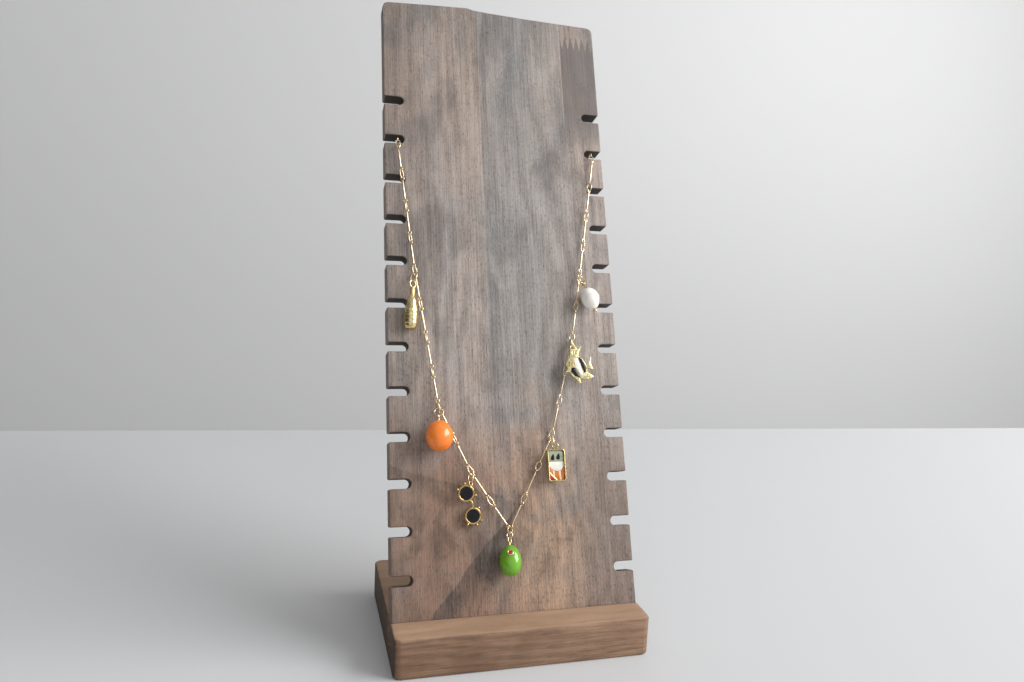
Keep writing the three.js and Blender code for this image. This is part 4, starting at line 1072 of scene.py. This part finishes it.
def make_olive():
    charm = Charm("olive")
    s, size = STUFFING, OLIVE_FRUIT
    radii = Vector((size.width / 2, size.height / 2, size.width / 2))
    aim = Vector((sin(s.side), tan(s.up), cos(s.side)))
    face = aim / Vector([a / r for a, r in zip(aim, radii)]).length
    normal = Vector([f / r ** 2 for f, r in zip(face, radii)]).normalized()
    face.y -= size.drop
    seat = Matrix.Translation(face) @ TOP.rotation_difference(normal).to_matrix().to_4x4()
    pocket = [(1.0, s.pocket), (-0.1, s.pocket), (-s.deep, s.pocket * 0.9)]
    fruit = charm.solid(round_body(size, 0.25, 0.012, 7.0, 0.07))
    combined(fruit, charm.solid(Shell().lathe(pocket, 40, seat)), "DIFFERENCE")
    charm.piece(fruit, "olive", GREEN)
    charm.pin(pin_end(size))
    rim_place = frame_at(face - normal * s.sunk, across(TOP, normal), normal)
    rim = Shell().ring(rim_place, s.rim, s.rim, s.wire, 40, 12)
    cup = Shell().lathe([(-0.15, 1.05), (-0.3, 1.12), (-0.62, 1.0)], 40, seat)
    charm.piece(charm.solid(rim, cup), "olive_rim", GOLD, 40)
    red = crown(s.fill, 0.16, -0.02, 7) + [(-0.4, s.fill)]
    charm.piece(charm.solid(Shell().lathe(red, 32, seat)), "olive_stuffing", RED)


# ---- the sunglasses

GLASSES = Values(side=-2.93, drop=3.14, apart=9.3, rim=3.05, wire=0.42, lip=0.26, step=0.16,
    lens=2.6, deep=0.3)
GLASSES_BALL = Values(radius=0.66, out=3.85, upper=(-49, 6, 121), lower=(54, 137, 172, -129))
GLASSES_BRIDGE = Values(wire=0.4, end=0.6, side=1.1, rise=0.75, bend=1.3)
GLASSES_POST = Values(top=(0.7, 0.75), foot=(2.1, 2.2), thin=0.34)


def make_sunglasses():
    charm = Charm("sunglasses")
    g, knob, bridge, post = GLASSES, GLASSES_BALL, GLASSES_BRIDGE, GLASSES_POST
    centres = [Vector((g.side, -g.drop - k * g.apart, 0)) for k in range(2)]
    shells = [charm.own_loop()]
    for centre in centres:
        seat = frame_at(centre, TOP, FRONT)
        shells.append(Shell().ring(seat, g.rim, g.rim, g.wire, 56, 14))
        lip = g.rim - g.step
        shells.append(Shell().ring(seat @ Matrix.Translation((0, 0, g.step)), lip, lip, g.lip, 56))
    for centre, angles in zip(centres, (knob.upper, knob.lower)):
        for angle in map(radians, angles):
            toward = Vector((sin(angle), cos(angle), 0))
            shells.append(ball(centre + toward * knob.out, knob.radius, 18, 10))
    upper = [(bridge.end, -g.rim), (bridge.side, -g.rim - bridge.rise)]
    lower = [(x, -g.apart - y) for x, y in reversed(upper)]
    bend = [Vector((g.side + x, -g.drop + y, 0))
            for x, y in upper + [(bridge.bend, -g.apart / 2)] + lower]
    wire = bridge.wire
    for start, end in zip(bend, bend[1:]):
        shells.append(Shell().rod(start, end, [(0, wire), (1, wire)], 14))
    shells += [ball(point, wire * 1.02, 14, 8) for point in bend[1:-1]]
    top = Vector((-charm.loop * post.top[0], -charm.loop * post.top[1], 0))
    foot = Vector((g.side + post.foot[0], -g.drop + post.foot[1], 0))
    shells.append(Shell().rod(top, foot, [(0, post.thin), (0.3, wire), (1, wire)], 14))
    charm.piece(charm.solid(*shells), "sunglasses_frame", BRASS, 45)
    lens = crown(g.lens, 0.12, g.deep - 0.1, 8) + [(-g.deep, g.lens)]
    for name, centre in zip(("upper", "lower"), centres):
        made = charm.solid(Shell().lathe(lens, 48, Matrix.Translation(centre) @ TO_FRONT))
        charm.piece(made, f"sunglasses_lens_{name}", BLACK)


# ---- flat charms

SHARPEST = 0.4  # limits how far a sharp corner moves
MOST_CUT = 0.45  # of an outline's side, at a rounded corner


def grown(corners, gap):
    """An outline grown by `gap` on every side. The corners turn left."""
    out = []
    for i, (x, y) in enumerate(corners):
        before, after = corners[i - 1], corners[(i + 1) % len(corners)]
        a = Vector((x - before[0], y - before[1])).normalized()
        b = Vector((after[0] - x, after[1] - y)).normalized()
        mitre = (a + b).normalized()
        away = gap / max(SHARPEST, mitre.dot(a))
        out.append((x + mitre.y * away, y - mitre.x * away))
    return out


def softened(corners, cut_back, steps=3):
    """An outline whose corners are rounded by small curves."""
    out = []
    for i, corner in enumerate(map(Vector, corners)):
        before, after = Vector(corners[i - 1]), Vector(corners[(i + 1) % len(corners)])
        a = corner + (before - corner) * min(MOST_CUT, cut_back / (before - corner).length)
        b = corner + (after - corner) * min(MOST_CUT, cut_back / (after - corner).length)
        for k in range(steps + 1):
            t = k / steps
            out.append(tuple(a * (1 - t) ** 2 + corner * 2 * t * (1 - t) + b * t ** 2))
    return out


def slab(corners, back, front, bevel, shift):
    """A flat plate whose front edge is eased."""
    rows = [(corners, back), (corners, front - bevel), (grown(corners, -bevel * 0.3), front - bevel * 0.3),
            (grown(corners, -bevel), front)]
    return Shell().grid([raised(outline, z, shift) for outline, z in rows])


TIN = Values(width=7.6, height=13.2, depth=2.2, corner=1.3, wall=0.5, floor=0.6, drop=7.95)
TIN_FIELD = Values(band_top=1.4, red_top=-3.2, red_right=-0.4, thick=0.75, apart=0.14, ridge=0.48)
TIN_BAND = [(-2.4, -1.35), (-1.5, -2.0), (-0.5, -2.33), (0.4, -2.4), (1.4, -2.22), (2.2, -1.8), (2.8, -1.15)]
TIN_MARKS = ((-1.4, 3.25), (1.0, 3.45))
ALMOND = [(-0.8, -0.95), (-0.4, -1.3), (0.35, -1.3), (0.8, -0.9), (0.78, -0.1), (0.36, 0.85), (0.0, 1.45),
          (-0.38, 0.85), (-0.8, -0.1)]


def make_tin():
    charm = Charm("tin")
    field, shift = TIN_FIELD, (0, -TIN.drop)
    half_w, half_h, front = TIN.width / 2, TIN.height / 2, TIN.depth / 2
    wall, floor = TIN.wall, -front + TIN.floor
    # The tray's section, as pairs of how far in from its side and how high.
    section = [(2.6, -front), (0.34, -front), (0.1, -front + 0.1), (0, -front + 0.34), (0, front - 0.3),
               (0.06, front - 0.12), (0.17, front - 0.02), (0.28, front), (0.4, front - 0.05),
               (wall, front - 0.22), (wall, floor + 0.1), (wall + 0.1, floor), (2.6, floor)]
    rows = []
    for inset, z in section:
        outline = rounded_rectangle(half_w - inset, half_h - inset, max(0.3, TIN.corner - inset))
        rows.append(raised(outline, z, shift))
    in_w, in_h, cut = half_w - wall - INLAY_GAP, half_h - wall - INLAY_GAP, TIN.corner - wall
    band_top, red_top, red_right = field.band_top, field.red_top, field.red_right
    ridge = Shell().rod(Vector((-in_w - 0.15, red_top + shift[1] + 0.2, floor + 0.45)),
                        Vector((red_right + 0.1, -in_h + shift[1] - 0.1, floor + 0.45)),
                        [(0, field.ridge), (1, field.ridge)], 16)
    charm.piece(charm.solid(Shell().grid(rows), charm.own_loop(), ridge), "tin", GOLD, 45)
    seat = floor + INLAY_GAP
    edge = [(-in_w, -0.4), *TIN_BAND, (in_w, -0.4)]
    top = [(-in_w, band_top + 0.1), (in_w, band_top + 0.1), (in_w, in_h - cut), (in_w - cut, in_h),
           (cut - in_w, in_h), (-in_w, in_h - cut)]
    low = [(x, y - field.apart) for x, y in edge[::-1]]
    low += [(-in_w, red_top + 0.45), (red_right + 0.45, -in_h), (in_w - cut, -in_h), (in_w, cut - in_h)]
    corner = [(-in_w, red_top - 0.35), (-in_w, cut - in_h), (cut - in_w, -in_h), (red_right - 0.35, -in_h)]
    for node, corners, material in (
        ("tin_top_field", top, SILVER),
        ("tin_band", edge + [(in_w, band_top), (-in_w, band_top)], WHITE),
        ("tin_low_field", low, AMBER),
        ("tin_red_corner", corner, RED),
    ):
        made = charm.solid(slab(softened(corners, 0.3), seat, seat + field.thick, 0.14, shift))
        charm.piece(made, node, material)
    turn = Matrix.Rotation(radians(-14), 2)
    almond = softened([tuple(turn @ Vector(point)) for point in ALMOND], 0.3)
    face = seat + field.thick
    for k, (x, y) in enumerate(TIN_MARKS):
        made = charm.solid(slab(almond, face - 0.2, face + 0.07, 0.06, (x, y + shift[1])))
        charm.piece(made, f"tin_dark_mark_{k + 1}", BLACK, replaces=False)


FISH = Values(side=1.9, drop=8.7, thick=0.8, pocket=0.4, proud=0.05, curve_steps=6)
# Corners of the fish. A third entry is the middle of the curve that leads to the corner.
FISH_OUTLINE = [
    (-2.6, 11.2), (-3.6, 4.6, (-3.4, 7.5)), (-5.9, 0.6, (-5.2, 2.6)), (-5.2, -1.0), (-6.2, -2.6),
    (-4.4, -2.5), (-2.0, -5.3, (-3.9, -4.2)), (0.2, -7.7, (-1.2, -7.2)), (-0.2, -5.3, (-0.1, -6.6)),
    (6.1, -4.3, (4.4, -6.6)), (3.4, -2.4, (5.0, -3.0)), (3.6, -1.0), (6.5, -1.5, (4.9, -0.6)),
    (6.3, 5.0, (4.9, 1.4)), (3.4, 0.4, (3.9, 2.2)), (0.2, 4.7, (2.6, 3.2)), (2.3, 9.2, (0.5, 7.0)),
    (0.3, 7.9, (1.0, 8.9)), (-1.7, 11.0, (-0.6, 9.0)),
]
FISH_CHIN = [(-3.4, -0.6), (-3.8, -2.3), (-2.1, -4.3), (0.1, -4.9), (-1.8, -0.6)]
FISH_BAND = [(-2.3, 3.9), (-1.85, 1.8), (-1.75, -0.3), (-1.3, -0.7), (0.6, -4.3), (1.6, -3.4), (0.95, -0.9),
             (0.35, 1.7), (-0.45, 4.1)]
FISH_BACK = [(0.1, 4.2), (0.85, 1.7), (1.45, -0.8), (2.15, -2.8), (3.05, -2.3), (3.2, -0.8), (2.7, 1.2),
             (1.5, 3.4)]
FISH_SPOT = Values(x=-2.8, y=0.8, radius=0.75, sides=28)
FISH_RAYS = [((4.6, 1.2), (5.9, 3.6)), ((4.8, 0.2), (6.0, 0.0)), ((3.0, -4.3), (4.9, -4.5)),
             ((2.4, -4.9), (3.8, -5.2)), ((-0.7, -5.7), (-0.3, -6.8)), ((-2.5, 5.0), (-2.5, 7.2)),
             ((-1.5, 5.2), (-1.2, 7.4)), ((-0.4, 5.4), (0.5, 7.4))]
RAY_SHAPE = [(0, 0.1), (0.12, 0.22), (0.75, 0.19), (1, 0.08)]
FISH_DOTS = ((-4.15, 1.55, 0.34), (-4.3, 0.35, 0.3))


def fish_outline():
    out = []
    steps = FISH.curve_steps
    for i, row in enumerate(FISH_OUTLINE):
        corner = Vector(row[:2])
        if len(row) == 3:
            start, middle = Vector(FISH_OUTLINE[i - 1][:2]), Vector(row[2])
            for t in (k / steps for k in range(1, steps)):
                out.append(start * (1 - t) ** 2 + middle * 2 * t * (1 - t) + corner * t ** 2)
        out.append(corner)
    return out


def make_fish():
    charm = Charm("fish")
    shift = (FISH.side, -FISH.drop)
    front = FISH.thick / 2
    body = charm.solid(Shell().grid([raised(fish_outline(), z, shift) for z in (-front, front)]), ease=0.16)
    for ends in FISH_RAYS:
        start, end = (Vector((x + shift[0], y + shift[1], front - 0.1)) for x, y in ends)
        combined(body, charm.solid(Shell().rod(start, end, RAY_SHAPE, 16)))
    hole = charm.loop - LOOP_WIRE
    combined(body, charm.solid(Shell().lathe([(2, hole), (-2, hole)], 32, TO_FRONT)), "DIFFERENCE")
    spot = FISH_SPOT
    circle = [(spot.x + spot.radius * cos(turn), spot.y + spot.radius * sin(turn))
              for turn in turns(spot.sides)]
    for node, corners, material in (
        ("fish_black_chin", softened(FISH_CHIN, 0.25), BLACK),
        ("fish_white_band", softened(FISH_BAND, 0.25), WHITE),
        ("fish_black_back", softened(FISH_BACK, 0.25), BLACK),
        ("fish_spot", circle, YELLOW),
    ):
        floor = front - FISH.pocket
        pocket = charm.solid(slab(grown(corners, INLAY_GAP), floor, front + 1, 0.01, shift))
        combined(body, pocket, "DIFFERENCE")
        made = charm.solid(slab(corners, floor + 0.05, front + FISH.proud, 0.12, shift))
        charm.piece(made, node, material)
    charm.piece(body, "fish", PALE_GOLD, 17)
    for k, (x, y, radius) in enumerate(FISH_DOTS):
        seat = Matrix.Translation((x + shift[0], y + shift[1], front)) @ TO_FRONT
        dome = [(0.07, 0.05), (0.05, radius * 0.7), (0.0, radius), (-0.2, radius)]
        made = charm.solid(Shell().lathe(dome, 24, seat))
        charm.piece(made, f"fish_dark_dot_{k + 1}", BLACK, replaces=False)


make_bottle()
make_orange()
make_pearl()
make_olive()
make_sunglasses()
make_tin()
make_fish()

# ---- floor, wall and light

LIT_POINT = Vector((0, 0, 0.12))
ROOM_LIGHT = Values(toward=(0.8, 0.15, 0.58), dim=0.03, bright=0.84)
TABLE_EDGE = Values(middle=Vector((0.1583, 0.31966, 0)), turn=radians(-3.7374), half=3.0, deep=4.0)
WALL = Values(behind_edge=0.7, half=5.0, low=-2.0, high=3.0)


def plain(name, color, rough):
    n = Material(name)
    drift = n.noise(n.coordinates(), 3.0, 3)
    shade = n.mix(drift * 0.12, color, tuple(0.8 * part for part in color))
    return n.finish(shade, rough, Specular_IOR_Level=0.2)


def flat_piece(name, corners, material):
    mesh = bpy.data.meshes.new(name)
    mesh.from_pydata([tuple(corner) for corner in corners], [], [(0, 1, 2, 3)])
    made = bpy.data.objects.new(name, mesh)
    scene.collection.objects.link(made)
    made.data.materials.append(material)


def stage():
    """A plain table and a wall beyond its far edge."""
    way = Vector((cos(TABLE_EDGE.turn), sin(TABLE_EDGE.turn), 0))
    ahead = Vector((-way.y, way.x, 0))
    left, right = (TABLE_EDGE.middle + way * side * TABLE_EDGE.half for side in (-1, 1))
    near = -ahead * TABLE_EDGE.deep
    flat_piece("floor", [left + near, right + near, right, left], plain("floor", (0.585, 0.588, 0.59), 0.7))
    left, right = (TABLE_EDGE.middle + ahead * WALL.behind_edge + way * side * WALL.half for side in (-1, 1))
    low, high = UP * WALL.low, UP * WALL.high
    corners = [left + low, right + low, right + high, left + high]
    flat_piece("wall", corners, plain("wall", (0.75, 0.75, 0.74), 0.9))


def soft_light(name, place, size, watts, color):
    data = bpy.data.lights.new(name, "AREA")
    data.shape = "RECTANGLE"
    data.size, data.size_y = size
    data.energy = watts
    data.color = color
    lamp = bpy.data.objects.new(name, data)
    lamp.location = place
    lamp.rotation_euler = (LIT_POINT - place).to_track_quat("-Z", "Y").to_euler()
    scene.collection.objects.link(lamp)


def room_light():
    """The room is bright to the right and above, and dim to the left."""
    world = bpy.data.worlds.new("world")
    world.use_nodes = True
    n = Nodes(world.node_tree)
    share = n.dot(n.coordinates("Generated"), ROOM_LIGHT.toward)
    strength = n.call("MapRange", {"Value": share, "From Min": -0.7, "From Max": 0.9,
                                   "To Min": ROOM_LIGHT.dim, "To Max": ROOM_LIGHT.bright})
    background = world.node_tree.nodes["Background"]
    n.put((0.97, 0.98, 1.0), background.inputs["Color"])
    n.put(strength, background.inputs["Strength"])
    scene.world = world


stage()
soft_light("window", Vector((1.25, -0.5, 0.85)), (1.1, 1.0), 29.0, (0.99, 0.99, 1.0))
soft_light("fill", Vector((-0.3, -1.3, 0.7)), (1.4, 1.1), 2.6, (1.0, 0.98, 0.96))
room_light()
scene.view_settings.view_transform = "Standard"
